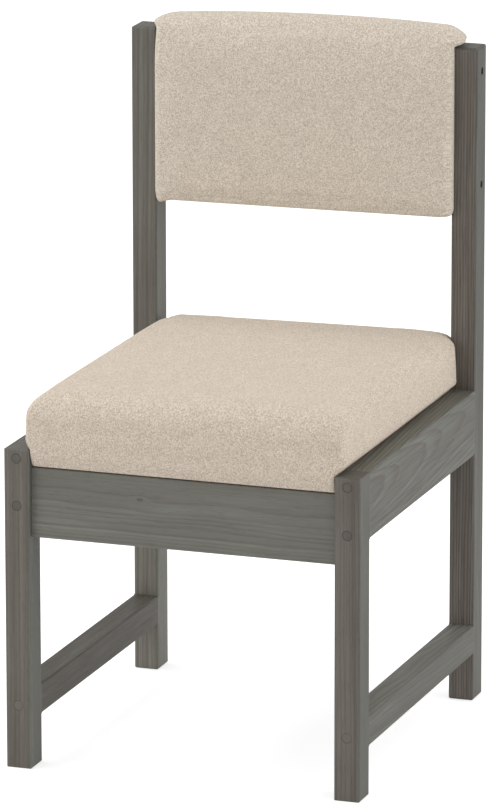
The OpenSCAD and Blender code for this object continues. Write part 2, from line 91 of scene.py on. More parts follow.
class Wire:
    """A value that a node puts out. Each operation on wires adds the node that works it out."""

    def __init__(self, graph: "Graph", socket: Socket) -> None:
        """Keeps the node's output and its graph."""
        self.graph, self.socket = graph, socket

    def apply(self, operation: str, *others: Value) -> "Wire":
        """Applies an operation to this value and others, part by part if one of them has parts."""
        values = (self, *others)
        kind = "VectorMath" if any(has_parts(value) for value in values) else "Math"
        # The vector node puts out these two as numbers, at its second output.
        output = 1 if operation in ("LENGTH", "DOT_PRODUCT") else 0
        return self.graph.run(kind, dict(enumerate(values)), output, operation=operation)

    __add__ = partialmethod(apply, "ADD")
    __sub__ = partialmethod(apply, "SUBTRACT")
    __truediv__ = partialmethod(apply, "DIVIDE")
    __abs__ = partialmethod(apply, "ABSOLUTE")
    least = partialmethod(apply, "MINIMUM")
    most = partialmethod(apply, "MAXIMUM")
    floor = partialmethod(apply, "FLOOR")
    beats = partialmethod(apply, "GREATER_THAN")
    length = partialmethod(apply, "LENGTH")
    dot = partialmethod(apply, "DOT_PRODUCT")

    def __mul__(self, other: Value) -> "Wire":
        """Multiplies: two vectors part by part, and a vector with a number in all its parts."""
        if has_parts(self) and not has_parts(other):
            return self.graph.run("VectorMath", {0: self, "Scale": other}, operation="SCALE")
        return self.apply("MULTIPLY", other)

    def parts(self) -> "list[Wire]":
        """Puts out the three parts of a vector."""
        node = self.graph.add("SeparateXYZ", {0: self})
        return [Wire(self.graph, socket) for socket in node.outputs]

    def ease(self, low: Value, high: Value, to_low: Value = 0, to_high: Value = 1) -> "Wire":
        """Puts out a number that passes smoothly between two numbers.

        Args:
            low: Where this value leaves the first number.
            high: Where it reaches the second number.
            to_low: The first number.
            to_high: The second number.

        Returns:
            The number in between.
        """
        feeds = {"Value": self, "From Min": low, "From Max": high, "To Min": to_low, "To Max": to_high}
        return self.graph.run("MapRange", feeds, interpolation_type="SMOOTHSTEP")


class Graph:
    """Adds nodes to a node tree and joins them."""

    def __init__(self, tree: bpy.types.NodeTree) -> None:
        """Keeps the tree, and empties it."""
        self.tree = tree
        tree.nodes.clear()

    def feed(self, socket: Socket, value: Value) -> None:
        """Joins a wire to an input, or sets the input to a plain value."""
        if isinstance(value, Wire):
            self.tree.links.new(value.socket, socket)
        elif socket.type == "RGBA":
            socket.default_value = (*value, 1)
        else:
            socket.default_value = value

    def add(self, kind: str, feeds: Optional[dict[Union[int, str], Value]] = None,
            **settings: object) -> bpy.types.Node:
        """Adds one node.

        Args:
            kind: The node's type, without its leading ShaderNode.
            feeds: What its inputs get, by their numbers or names.
            **settings: Values of the node's own properties.

        Returns:
            The new node.
        """
        node = self.tree.nodes.new("ShaderNode" + kind)
        for name, value in settings.items():
            setattr(node, name, value)
        for name, value in (feeds or {}).items():
            self.feed(node.inputs[name], value)
        return node

    def run(self, kind: str, feeds: dict[Union[int, str], Value], output: Union[int, str] = 0,
            **settings: object) -> Wire:
        """Adds one node as add does, and puts out one of its outputs, by number or name."""
        return Wire(self, self.add(kind, feeds, **settings).outputs[output])

    def join(self, x: Value, y: Value, z: Value) -> Wire:
        """Puts out a vector made of three numbers."""
        return self.run("CombineXYZ", {0: x, 1: y, 2: z})

    def noise(self, vector: Value, detail: float = 2, roughness: float = 0.5,
              output: Union[int, str] = 0) -> Wire:
        """Puts out smooth noise whose lumps are about one unit of the vector."""
        feeds = {"Vector": vector, "Scale": 1, "Detail": detail, "Roughness": roughness}
        return self.run("TexNoise", feeds, output)

    def drift(self, vector: Value, detail: float, roughness: float, most: Value) -> Wire:
        """Puts out a smoothly wandering vector whose parts reach up to half of most either way."""
        return (self.noise(vector, detail, roughness, "Color") - (0.5, 0.5, 0.5)) * most

    def blend(self, share: Value, first: Value, second: Value) -> Wire:
        """Puts out a number between two numbers."""
        # The Mix node takes numbers at 2 and 3, and colours at 6 and 7, and puts out colours at 2.
        return self.run("Mix", {0: share, 2: first, 3: second}, data_type="FLOAT")

    def layered(self, colour: Value, *layers: tuple[Value, Value]) -> Value:
        """Lays colours over a first one.

        Args:
            colour: The first colour.
            *layers: For each layer, how much of it shows, and its colour.

        Returns:
            The colour of them all.
        """
        for share, over in layers:
            colour = self.run("Mix", {0: share, 6: colour, 7: over}, 2, data_type="RGBA")
        return colour

    def named(self, sockets: Iterable[Socket]) -> SimpleNamespace:
        """Wires by their sockets' names, in small letters and with _ for each space."""
        return SimpleNamespace(**{socket.name.lower().replace(" ", "_"): Wire(self, socket)
                                  for socket in sockets})

    def place(self, effect: "type[Effect]", **values: Value) -> SimpleNamespace:
        """Places an effect's node group.

        Args:
            effect: The effect.
            **values: Its inputs by name, as named writes them. Its defaults stand in for the ones
                that are left out.

        Returns:
            Its outputs by name.
        """
        feeds = {name.replace("_", " ").capitalize(): value
                 for name, value in {**effect.defaults, **values}.items()}
        return self.named(self.add("Group", feeds, node_tree=effect.group()).outputs)


class Effect:
    """A node group that more than one material uses, built the first time it is asked for.

    inputs and outputs give the sockets' types by name.
    """

    name = "effect"
    inputs: dict[str, str] = {}
    outputs: dict[str, str] = {}
    defaults: dict[str, Value] = {}

    @classmethod
    def group(cls) -> bpy.types.NodeTree:
        """The group, built once."""
        known = bpy.data.node_groups.get(cls.name)
        if known is not None:
            return known
        tree = bpy.data.node_groups.new(cls.name, "ShaderNodeTree")
        for way, sockets in (("INPUT", cls.inputs), ("OUTPUT", cls.outputs)):
            for name, kind in sockets.items():
                tree.interface.new_socket(name=name, in_out=way, socket_type="NodeSocket" + kind)
        graph = Graph(tree)
        given = tree.nodes.new("NodeGroupInput").outputs
        results = cls.build(graph, graph.named(given[name] for name in cls.inputs))
        ends = tree.nodes.new("NodeGroupOutput").inputs
        for name, value in results.items():
            graph.feed(ends[name], value)
        return tree

    @classmethod
    def build(cls, graph: Graph, given: SimpleNamespace) -> dict[str, Wire]:
        """Builds the group's nodes.

        Args:
            graph: The group's own graph.
            given: The group's inputs by name, as Graph.named writes them.

        Returns:
            What feeds the group's outputs, by name.
        """
        raise NotImplementedError


class GrowthRings(Effect):
    """Growth rings of a trunk, cut through by the timber's faces.

    A ring is where the distance to the pith, a line that leans along the timber and wanders, is a
    whole number of ring widths. So faces across the rings show straight lines, faces along them
    show arches, and the ends show arcs. A knot pushes the rings aside. The default knot is far off
    the timber.
    """

    name = "growth_rings"
    inputs = {"Vector": "Vector", "Pith": "Vector", "Lean": "Vector", "Width": "Float",
              "Wander": "Float", "Seed": "Float", "Knot": "Vector", "Knot size": "Float"}
    outputs = {"Late": "Float", "Tone": "Float", "Knot": "Float"}
    defaults = {"lean": (0, 0, 0), "knot": (9, 9, 9), "knot_size": 1 * MM}
    drift_scale = (26, 26, 5)
    knot_shape = (1, 1, 0.45)
    knot_push = (0.6, 4, 1.6, 0)
    knot_rim = (1.25, 0.7)
    uneven_scale = 130
    unevenness = 1.6
    late_start = (0.3, 0.82)
    late_end = (0.86, 1, 1, 0)

    @classmethod
    def build(cls, graph: Graph, given: SimpleNamespace) -> dict[str, Wire]:
        """Builds the group's nodes; see Effect.build."""
        vector, seed = given.vector, given.seed
        pith = given.pith + given.lean * vector.parts()[2]
        place = vector * cls.drift_scale + graph.join(seed, seed, seed)
        away = vector + graph.drift(place, 2, 0.45, given.wander) - pith
        near = ((vector - given.knot) * cls.knot_shape).length() / given.knot_size
        radius = (away * (1, 1, 0)).length() + near.ease(*cls.knot_push) * given.knot_size
        uneven = graph.noise(graph.join(radius * cls.uneven_scale, seed, 0), 1)
        count = radius / given.width + uneven * cls.unevenness
        turn = count.apply("FRACT")
        tone = graph.run("TexWhiteNoise", {"W": count.floor() + seed}, "Value", noise_dimensions="1D")
        return {"Late": turn.ease(*cls.late_start) * turn.ease(*cls.late_end), "Tone": tone,
                "Knot": near.ease(*cls.knot_rim)}


class Fibres(Effect):
    """Fine streaks and pores that run along the timber."""

    name = "fibres"
    inputs = {"Vector": "Vector", "Seed": "Float"}
    outputs = {"Streak": "Float", "Pores": "Float"}
    streak_scale = (520, 520, 9)
    pore_scale = (1500, 1500, 60)
    pore_span = (0.6, 0.7)

    @classmethod
    def build(cls, graph: Graph, given: SimpleNamespace) -> dict[str, Wire]:
        """Builds the group's nodes; see Effect.build."""
        shift = graph.join(given.seed, given.seed, given.seed)
        fine = given.vector * cls.streak_scale + shift
        short = given.vector * cls.pore_scale + shift
        pores = graph.noise(short, 1).ease(*cls.pore_span)
        return {"Streak": graph.noise(fine, 3, 0.6), "Pores": pores}


class BoxEdges(Effect):
    """How near a point on a box-like piece lies to one of the box's edges.

    A point's depths under the nearest pair of faces are compared: the second smallest one is
    nothing at an edge.
    """

    name = "box_edges"
    inputs = {"Vector": "Vector", "Centre": "Vector", "Half": "Vector", "Reach": "Float"}
    outputs = {"Edge": "Float"}

    @classmethod
    def build(cls, graph: Graph, given: SimpleNamespace) -> dict[str, Wire]:
        """Builds the group's nodes; see Effect.build."""
        x, y, z = (given.half - abs(given.vector - given.centre)).parts()
        return {"Edge": x.most(y).least(x.least(y).most(z)).ease(given.reach, 0)}


class Blotches(Effect):
    """Soft uneven patches, such as where a surface took more stain, dye or dust, and fine specks."""

    name = "blotches"
    inputs = {"Vector": "Vector", "Scale": "Float", "Seed": "Float"}
    outputs = {"Patch": "Float", "Speck": "Float"}
    patch_span = (0.35, 0.65)
    speck_scale = 22

    @classmethod
    def build(cls, graph: Graph, given: SimpleNamespace) -> dict[str, Wire]:
        """Builds the group's nodes; see Effect.build."""
        wide = given.vector * given.scale + graph.join(given.seed, given.seed, given.seed)
        return {"Patch": graph.noise(wide, 3, 0.55).ease(*cls.patch_span),
                "Speck": graph.noise(wide * cls.speck_scale, 1)}


class HeatherWeave(Effect):
    """Plain weave of heathered yarn on whichever plane the surface faces most.

    Yarns cross at a steady pitch, and the yarn on top changes from one crossing to the next like
    the squares of a chessboard. Each yarn's height is a sine hump across it, and its tint is
    noise drawn out along it, so short light and dark dashes run both ways.
    """

    name = "heather_weave"
    inputs = {"Vector": "Vector", "Normal": "Vector", "Pitch": "Float", "Seed": "Float"}
    outputs = {"Height": "Float", "Tint": "Float", "Fleck": "Float"}
    ripple_scale = 70
    ripple = 1.2 * MM
    tint_length = 0.9
    tint_gap = 3.7
    weft_shift = 31
    hump_share = 0.7
    fuzz_scale = 900
    fuzz_share = 0.5
    tint_span = (0.32, 0.68)
    fleck_span = (0.42, 0.7)

    @classmethod
    def build(cls, graph: Graph, given: SimpleNamespace) -> dict[str, Wire]:
        """Builds the group's nodes; see Effect.build."""
        place = given.vector
        nx, ny, nz = abs(given.normal).parts()
        x, y, z = (place + graph.drift(place * cls.ripple_scale, 2, 0.5, cls.ripple)).parts()
        across = graph.blend(nx.beats(ny) * nx.beats(nz), x, y) / given.pitch
        down = graph.blend(nz.beats(ny) * nz.beats(nx), z, y) / given.pitch
        over = (across.floor() + down.floor()).apply("FLOORED_MODULO", 2).beats(0.5)

        def yarn(crosswise: Wire, lengthwise: Wire, shift: float) -> tuple[Wire, Wire]:
            """A yarn's hump and its tint, from the places across and along it."""
            spot = graph.join(crosswise.floor() * cls.tint_gap, lengthwise * cls.tint_length,
                              given.seed + shift)
            return (crosswise.apply("FRACT") * math.pi).apply("SINE"), graph.noise(spot, 1)

        warp_hump, warp_tint = yarn(across, down, 0)
        weft_hump, weft_tint = yarn(down, across, cls.weft_shift)
        upper_hump = graph.blend(over, weft_hump, warp_hump)
        fuzz = graph.noise(place * cls.fuzz_scale, 2, 0.6)
        height = warp_hump * weft_hump * cls.hump_share + upper_hump * (1 - cls.hump_share)
        return {"Height": height + fuzz * cls.fuzz_share,
                "Tint": graph.blend(over, weft_tint, warp_tint).ease(*cls.tint_span),
                "Fleck": fuzz.ease(*cls.fleck_span)}


class Grain(Enum):
    """Which way a timber's fibres run, as the turn that lays them along Z."""

    UPRIGHT = (0.0, 0.0, 0.0)
    LENGTHWAYS = (-math.pi / 2, 0.0, 0.0)
    CROSSWAYS = (0.0, math.pi / 2, 0.0)

    @property
    def axis(self) -> Triple:
        """The direction that the fibres run in."""
        return {Grain.UPRIGHT: (0, 0, 1), Grain.LENGTHWAYS: (0, 1, 0), Grain.CROSSWAYS: (1, 0, 0)}[self]


class Coat:
    """A material in the making: its graph, and each point's place and direction.

    relief_span is the part of the relief over which a roughness that follows it changes.
    """

    relief_span = (0.3, 0.7)

    def __init__(self, name: str) -> None:
        """Makes an empty material."""
        self.material = bpy.data.materials.new(name)
        self.material.use_nodes = True
        self.graph = Graph(self.material.node_tree)
        texture = self.graph.named(self.graph.add("TexCoord").outputs)
        self.place, self.normal = texture.object, texture.normal

    def laid(self, grain: Grain, centre: Value = (0, 0, 0)) -> Wire:
        """Puts out each point's place from a centre, turned so that the fibres run along Z."""
        feeds = {"Vector": self.place, "Location": centre, "Rotation": grain.value}
        return self.graph.run("Mapping", feeds, vector_type="TEXTURE")

    def done(self, colour: Value, roughness: Union[Wire, Pair], height: Wire,
             depth: float, strength: float = 1, **constants: float) -> bpy.types.Material:
        """Joins the shader to the rest.

        Args:
            colour: The colour.
            roughness: The roughness, or its two ends if it follows the relief.
            height: The relief, mostly from 0 to 1.
            depth: The height of one unit of the relief.
            strength: How much of the relief shows.
            **constants: Plain values for other inputs of the shader, with _ for each space.

        Returns:
            The finished material.
        """
        if isinstance(roughness, tuple):
            roughness = height.ease(*self.relief_span, *roughness)
        bump = self.graph.run("Bump", {"Height": height, "Distance": depth, "Strength": strength})
        feeds = {"Base Color": colour, "Roughness": roughness, "Normal": bump}
        feeds.update({name.replace("_", " "): value for name, value in constants.items()})
        shader = self.graph.run("BsdfPrincipled", feeds)
        self.graph.add("OutputMaterial", {"Surface": shader})
        return self.material


def dress(nodes: Iterable[str], material: bpy.types.Material) -> None:
    """Gives CAD nodes one material."""
    for node in nodes:
        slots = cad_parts[node].data.materials
        slots.clear()
        slots.append(material)


@dataclass(frozen=True)
class Cut:
    """Where a timber was cut from its trunk, seen with its fibres along Z.

    pith is the pith's place at the timber's middle and lean its slope along the timber, both
    across the fibres. ring is the mean width of a ring, and figure and streaks are how clearly the
    rings and the fine streaks show. tone and tint are factors on the whole timber's colour. front
    is one on that of the faces towards the front and the back, and top on that of the faces up and
    down: painted light and shade that makes these faces lighter or darker, and on the front faces
    partly a browner stain. The factor on a timber's lower end is painted light, which lifts the
    shade that falls low down under the chair.
    """

    grain: Grain
    pith: Pair
    lean: Pair = (0.0, 0.0)
    ring: float = 3.1 * MM
    wander: float = 7 * MM
    seed: float = 0.0
    knot: Triple = GrowthRings.defaults["knot"]
    knot_size: float = GrowthRings.defaults["knot_size"]
    tone: float = 1.0
    tint: Triple = (1.0, 1.0, 1.0)
    front: Triple = (1.0, 1.0, 1.0)
    top: Triple = (1.0, 1.0, 1.0)
    foot_light: float = 1.0
    figure: float = 1.0
    streaks: float = 1.0


@dataclass(frozen=True)
class StainedPine:
    """Pine under a thin grey stain: the early wood is greyer, the late wood browner and darker."""

    early: Triple = shade(108, 109, 102)
    late: Triple = shade(76, 69, 61)
    pale: Triple = shade(126, 127, 120)
    dark: Triple = shade(62, 55, 48)
    end: Triple = shade(82, 78, 71)
    knot: Triple = shade(58, 50, 42)
    early_roughness: float = 0.64
    late_roughness: float = 0.53
    edge_reach: float = 3.5 * MM
    rubbed: Pair = (0.05, 0.35)
    flat_span: Pair = (0.86, 0.99)
    foot_light_span: Pair = (0.2, 0.4)
    specular: float = 0.35

    def material(self, name: str, node: str, cut: Cut) -> bpy.types.Material:
        """Makes the finish for one timber.

        Args:
            name: The material's name.
            node: The timber's CAD node, whose box gives its centre and its edges.
            cut: Where it was cut from its trunk.

        Returns:
            The material.
        """
        low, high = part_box(node)
        centre, half = (low + high) / 2, (high - low) / 2
        coat = Coat(name)
        graph, place, laid = coat.graph, coat.place, coat.laid(cut.grain, centre)
        rings = graph.place(GrowthRings, vector=laid, pith=(*cut.pith, 0), lean=(*cut.lean, 0),
                            width=cut.ring, wander=cut.wander, seed=cut.seed, knot=cut.knot,
                            knot_size=cut.knot_size)
        fibres = graph.place(Fibres, vector=laid, seed=cut.seed)
        edges = graph.place(BoxEdges, vector=place, centre=centre, half=half, reach=self.edge_reach)
        patches = graph.place(Blotches, vector=laid * (1, 1, 0.25), scale=28, seed=cut.seed)
        colour = graph.layered(
            self.early,
            (rings.tone.ease(0.3, 1, 0, 0.5), self.pale),
            (rings.late * (0.8 * cut.figure), self.late),
            (fibres.streak.ease(0.5, 0.72, 0, 0.7 * cut.streaks), self.dark),
            (fibres.streak.ease(0.5, 0.3, 0, 0.5 * cut.streaks), self.pale),
            (patches.patch * 0.25, self.late),
            (fibres.pores * 0.3, self.dark),
            (rings.knot * 0.5, self.knot),
            (abs(coat.normal.dot(cut.grain.axis)).ease(0.6, 0.95, 0, 0.6), self.end))
        # Painted light and shade: faces towards the front and back, and faces up and down, are made
        # lighter or darker by their own factors; on the front faces this is partly a browner stain too.
        for axis, factor in (((0, 1, 0), cut.front), ((0, 0, 1), cut.top)):
            turned = abs(coat.normal.dot(axis)).ease(*self.flat_span)
            colour = graph.layered(colour, (turned, colour * factor))
        rubbed = edges.edge * patches.speck.ease(*coat.relief_span, *self.rubbed)
        colour = graph.layered(colour, (rubbed, self.pale))
        colour = colour * tuple(cut.tone * share for share in cut.tint)
        # Painted light: the lower end is made lighter, against the shade that falls low down under the
        # chair.
        colour = colour * place.parts()[2].ease(*self.foot_light_span, cut.foot_light, 1)
        roughness = rings.late.ease(0, 1, self.early_roughness, self.late_roughness)
        height = rings.late * 0.55 + fibres.streak * -0.5 - fibres.pores * 0.5
        return coat.done(colour, roughness, height, depth=0.12 * MM, strength=0.7,
                         Specular_IOR_Level=self.specular)


@dataclass(frozen=True)
class PlugEnd:
    """End grain of the wood plugs, which drank the stain and is darkest round the rim.

    The low plugs match their legs more closely and hardly show.
    """

    face: Triple = shade(90, 86, 79)
    rim: Triple = shade(79, 75, 68)
    side: Triple = shade(106, 102, 93)
    leg: Triple = shade(106, 101, 94)
    rim_width: float = 3.2 * MM
    low_span: Pair = (0.15, 0.25)

    def material(self, heights: list[float], side_x: float, radius: float) -> bpy.types.Material:
        """Makes the finish.

        Args:
            heights: The heights of the plugs' centres.
            side_x: The plugs' distance from the chair's middle.
            radius: A plug's radius.

        Returns:
            The material. A point's distance from the nearest plug's axis says how near the rim is.
        """
        coat = Coat("stained_end_grain")
        graph, place = coat.graph, coat.place
        x, _, z = place.parts()
        from_z = abs(z - heights[0])
        for height in heights[1:]:
            from_z = from_z.least(abs(z - height))
        distance = graph.join(abs(x) - side_x, from_z, 0).length()
        rings = graph.place(GrowthRings, vector=place, pith=(0.19, 0, 0), width=1.9 * MM,
                            wander=6 * MM, seed=3)
        patches = graph.place(Blotches, vector=place, scale=160, seed=5)
        colour = graph.layered(
            self.face,
            (rings.late * 0.4, self.side),
            (patches.patch * 0.35, self.rim),
            (distance.ease(radius - self.rim_width, radius, 0, 0.6), self.rim),
            (z.ease(*self.low_span, 0.95, 0), self.leg))
        return coat.done(colour, (0.6, 0.75), patches.speck, depth=0.1 * MM, strength=0.6)


@dataclass(frozen=True)
class RawPine:
    """Planed pine with no finish, for the blocks and dowels inside the frame."""

    early: Triple = shade(222, 192, 146)
    late: Triple = shade(188, 142, 92)

    def material(self, grain: Grain) -> bpy.types.Material:
        """Makes the finish with its fibres along the given way."""
        coat = Coat("raw_pine_" + grain.name.lower())
        graph, laid = coat.graph, coat.laid(grain)
        rings = graph.place(GrowthRings, vector=laid, pith=(0.05, 0.03, 0), lean=(0.02, 0, 0),
                            width=3.4 * MM, wander=9 * MM, seed=11)
        fibres = graph.place(Fibres, vector=laid, seed=11)
        colour = graph.layered(self.early, (rings.late * 0.8, self.late),
                               (fibres.pores * 0.35, self.late))
        return coat.done(colour, (0.62, 0.78), fibres.streak, depth=0.1 * MM, strength=0.6)


@dataclass(frozen=True)
class Plywood:
    """Plywood: rotary-cut faces, and at its sides plies that run with and across by turns."""

    face: Triple = shade(214, 180, 132)
    figure: Triple = shade(182, 138, 88)
    ply: Triple = shade(120, 84, 52)
    glue: Triple = shade(70, 46, 30)

    def material(self, name: str, node: str, thin: int, plies: int) -> bpy.types.Material:
        """Makes the finish for one board.

        Args:
            name: The material's name.
            node: The board's CAD node.
            thin: The axis across the board's thickness, 0, 1 or 2.
            plies: The number of plies.

        Returns:
            The material.
        """
        low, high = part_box(node)
        coat = Coat(name)
        graph, place = coat.graph, coat.place
        depth = (place.parts()[thin] - low[thin]) / ((high[thin] - low[thin]) / plies)
        rings = graph.place(GrowthRings, vector=place * (1, 0.25, 1), pith=(0.02, -0.07, 0),
                            lean=(0.1, 0.12, 0), width=5 * MM, wander=24 * MM, seed=21)
        fibres = graph.place(Fibres, vector=place, seed=21)
        layer = depth.floor().apply("FLOORED_MODULO", 2)
        seam = depth.apply("PINGPONG", 0.5).ease(0.07, 0)
        side = graph.layered(self.face, (layer * 0.6, self.ply), (seam, self.glue))
        at_side = abs(coat.normal.parts()[thin]).ease(0.7, 0.5)
        colour = graph.layered(self.face, (rings.late * 0.7, self.figure), (at_side, side))
        return coat.done(colour, (0.6, 0.8), fibres.streak, depth=0.12 * MM, strength=0.6)


@dataclass(frozen=True)
class Steel:
    """Plated or blackened steel, with cloudy plating and small scuffs."""

    name: str
    base: Triple
    cloud: Triple
    roughness: float

    def material(self) -> bpy.types.Material:
        """Makes the finish."""
        coat = Coat(self.name)
        patches = coat.graph.place(Blotches, vector=coat.place, scale=240, seed=7)
        colour = coat.graph.layered(self.base, (patches.patch, self.cloud))
        return coat.done(colour, (self.roughness, self.roughness + 0.15), patches.speck,
                         depth=0.04 * MM, strength=0.5, Metallic=0.9)


@dataclass(frozen=True)
class Upholstery:
    """Heathered oatmeal cloth: warm pale yarn with greyer and browner yarn spun in."""

    name: str = "upholstery_cloth"
    body: Triple = shade(228, 212, 194)
    light: Triple = shade(250, 237, 220)
    grey: Triple = shade(187, 176, 161)
    brown_fleck_and_shade: Triple = shade(192, 170, 145)
    pitch: float = 1.3 * MM

    def material(self) -> bpy.types.Material:
        """Makes the finish."""
        coat = Coat(self.name)
        graph, place = coat.graph, coat.place
        weave = graph.place(HeatherWeave, vector=place, normal=coat.normal, pitch=self.pitch, seed=2)
        patches = graph.place(Blotches, vector=place, scale=38, seed=9)
        colour = graph.layered(
            self.body,
            (weave.tint.ease(0.45, 1, 0, 0.9), self.light),
            (weave.tint.ease(0.5, 0, 0, 0.95), self.grey),
            (weave.fleck * 0.35, self.brown_fleck_and_shade),
            # Painted shade: where the weave's relief is low, in the hollows between the yarns, the
            # cloth is darkened towards brown.
            (weave.height.ease(0.55, 0.1, 0, 0.35), self.brown_fleck_and_shade),
            (patches.patch * 0.1, self.grey))
        return coat.done(colour, weave.height.ease(0, 1, 0.97, 0.86), weave.height,
                         depth=0.3 * MM, strength=0.8, Specular_IOR_Level=0.2, Sheen_Weight=0.12,
                         Sheen_Roughness=0.6)


@dataclass(frozen=True)
class DustCloth:
    """Thin black felt with fibres pressed every way."""

    base: Triple = shade(34, 34, 36)
    fibre: Triple = shade(62, 62, 66)

    def material(self) -> bpy.types.Material:
        """Makes the finish."""
        coat = Coat("dust_cloth")
        graph, place = coat.graph, coat.place
        patches = graph.place(Blotches, vector=place, scale=90, seed=15)
        fibres = graph.place(Fibres, vector=place * 0.7, seed=15)
        colour = graph.layered(self.base, (fibres.streak.ease(0.45, 0.8), self.fibre),
                               (patches.patch * 0.3, self.base))
        return coat.done(colour, (0.85, 0.98), patches.speck, depth=0.2 * MM)


def part(count: int) -> np.ndarray:
    """Shares of a run from 0 to just under 1, the last step left to the next run."""
    return np.arange(count) / count


def joined(usual: dict[str, float],
           *runs: dict[str, Union[float, np.ndarray]]) -> dict[str, np.ndarray]:
    """Joins runs of levels on top of each other.

    Args:
        usual: The columns' usual values by name.
        *runs: For each run, the heights of its levels and the columns that aren't as usual. A plain
            number stands for the whole run.

    Returns:
        The columns of the whole table by name, upright, so that they spread over a ring's points.
    """
    full = [{**usual, **run} for run in runs]
    return {name: np.concatenate([np.broadcast_to(run[name], run["height"].shape)
                                  for run in full])[:, None] for name in full[0]}


def square_ring(count: int) -> tuple[np.ndarray, np.ndarray]:
    """Points round the square from -1 to 1, evenly spaced, from the front left corner.

    Args:
        count: The number of points on one side.

    Returns:
        The points' two coordinates, counter-clockwise from above.
    """
    run = 2 * part(count) - 1
    one = np.ones(count)
    return np.concatenate([run, one, -run, -one]), np.concatenate([-one, run, one, -run])


def rounded(x: np.ndarray, y: np.ndarray, half_x: np.ndarray, half_y: np.ndarray,
            corner: np.ndarray) -> tuple[np.ndarray, np.ndarray]:
    """Rectangles with round corners, one for each level.

    A point of the rectangle is drawn towards the nearest point of the rectangle that is smaller
    by the corner's radius all round, until it is one radius away.

    Args:
        x: The points' first coordinates on the square from -1 to 1.
        y: Their second coordinates.
        half_x: The rectangle's reach along X on the point's own side.
        half_y: Its reach along Y on the point's own side.
        corner: The corners' radius.

    Returns:
        The coordinates, a row for each level and a column for each point.
    """
    px, py = x * half_x, y * half_y
    kx = np.clip(px, corner - half_x, half_x - corner)
    ky = np.clip(py, corner - half_y, half_y - corner)
    away = np.maximum(np.hypot(px - kx, py - ky), 1e-9)
    return kx + (px - kx) / away * corner, ky + (py - ky) / away * corner


def turned_in(radius: float, below: np.ndarray) -> np.ndarray:
    """How far an edge rounded as a quarter circle has turned in at a depth below its top."""
    return radius - np.sqrt(radius**2 - np.maximum(radius - below, 0) ** 2)


def placed(name: str, data: bpy.types.ID) -> bpy.types.Object:
    """Puts a new object with the given data in the scene."""
    thing = bpy.data.objects.new(name, data)
    bpy.context.scene.collection.objects.link(thing)
    return thing


def made(name: str, points: list[Triple], faces: list[tuple[int, ...]]) -> bpy.types.Object:
    """Puts a new object with a new mesh in the scene."""
    mesh = bpy.data.meshes.new(name)
    mesh.from_pydata(points, [], faces)
    mesh.update()
    return placed(name, mesh)


def lofted(name: str, x: np.ndarray, y: np.ndarray, z: np.ndarray) -> bpy.types.Object:
    """A closed skin over rings of points, with a pole at each end.

    Args:
        name: The object's name.
        x: The points' X, a row for each ring from the lowest and a column for each point.
        y: Their Y.
        z: Their Z.

    Returns:
        The object, with its faces outwards.
    """
    rings, points = x.shape
    skin = np.stack([x, y, z], axis=-1).reshape(-1, 3)
    poles = np.array([skin[:points].mean(0), skin[-points:].mean(0)])
    step = np.arange(points)
    after = (step + 1) % points
    first = (np.arange(rings - 1) * points)[:, None]
    quads = np.stack([first + step, first + after, first + points + after, first + points + step],
                     axis=-1).reshape(-1, 4)
    low, top = rings * points, (rings - 1) * points
    under = np.stack([np.full(points, low), after, step], axis=1)
    over = np.stack([np.full(points, low + 1), top + step, top + after], axis=1)
    return made(name, np.concatenate([skin, poles]).tolist(),
                quads.tolist() + under.tolist() + over.tolist())


def rows(items: bpy.types.bpy_prop_collection, name: str) -> np.ndarray:
    """A property of three parts of a mesh's points, a row for each."""
    flat = np.zeros(len(items) * 3)
    items.foreach_get(name, flat)
    return flat.reshape(-1, 3)


def places(piece: bpy.types.Object) -> np.ndarray:
    """The places of a piece's points, a row for each."""
    return rows(piece.data.vertices, "co")


def facing(piece: bpy.types.Object) -> np.ndarray:
    """The directions that a piece's points face, a row for each."""
    return rows(piece.data.vertex_normals, "vector")


def put(piece: bpy.types.Object, points: np.ndarray) -> None:
    """Moves a piece's points."""
    piece.data.vertices.foreach_set("co", points.astype(np.float32).ravel())
    piece.data.update()


def step_up(value: np.ndarray, low: float, high: float) -> np.ndarray:
    """0 below low and 1 above high, with a smooth step between."""
    share = np.clip((value - low) / (high - low), 0, 1)
    return share * share * (3 - 2 * share)


def above(value: np.ndarray, start: float, height: float) -> np.ndarray:
    """The smooth step from 0 at a start to 1 at a height over it."""
    return step_up(value, start, start + height)


def carried(start: np.ndarray, moved: np.ndarray, points: np.ndarray, cell: float) -> np.ndarray:
    """Carries movements from one set of points over to another.

    The movements and their number are added up in the cells of a grid, and each cell then takes
    half of its neighbours' sums too, three times along each axis. A point's movement is the sum
    over the number, both read off between the eight cells round it.

    Args:
        start: The places of the points that moved.
        moved: How far each one moved.
        points: The points that the movements are wanted at.
        cell: The size of a cell.

    Returns:
        The movement at each point.
    """
    margin = 6
    low = start.min(0) - margin * cell
    size = np.ceil((start.max(0) - low) / cell).astype(int) + margin + 2
    grid = np.zeros((*size, 4))
    index = tuple(np.round((start - low) / cell).astype(int).T)
    np.add.at(grid, index, np.column_stack([moved, np.ones(len(moved))]))
    for axis in (0, 1, 2) * 3:
        grid = grid + (np.roll(grid, 1, axis) + np.roll(grid, -1, axis)) / 2
    spot = (points - low) / cell
    base = np.floor(spot).astype(int)
    part_way = spot - base
    total = np.zeros((len(points), 4))
    for corner in np.ndindex(2, 2, 2):
        weight = np.prod(np.where(corner, part_way, 1 - part_way), axis=1)
        total += weight[:, None] * grid[tuple((base + corner).T)]
    return total[:, :3] / np.maximum(total[:, 3:], 1e-9)


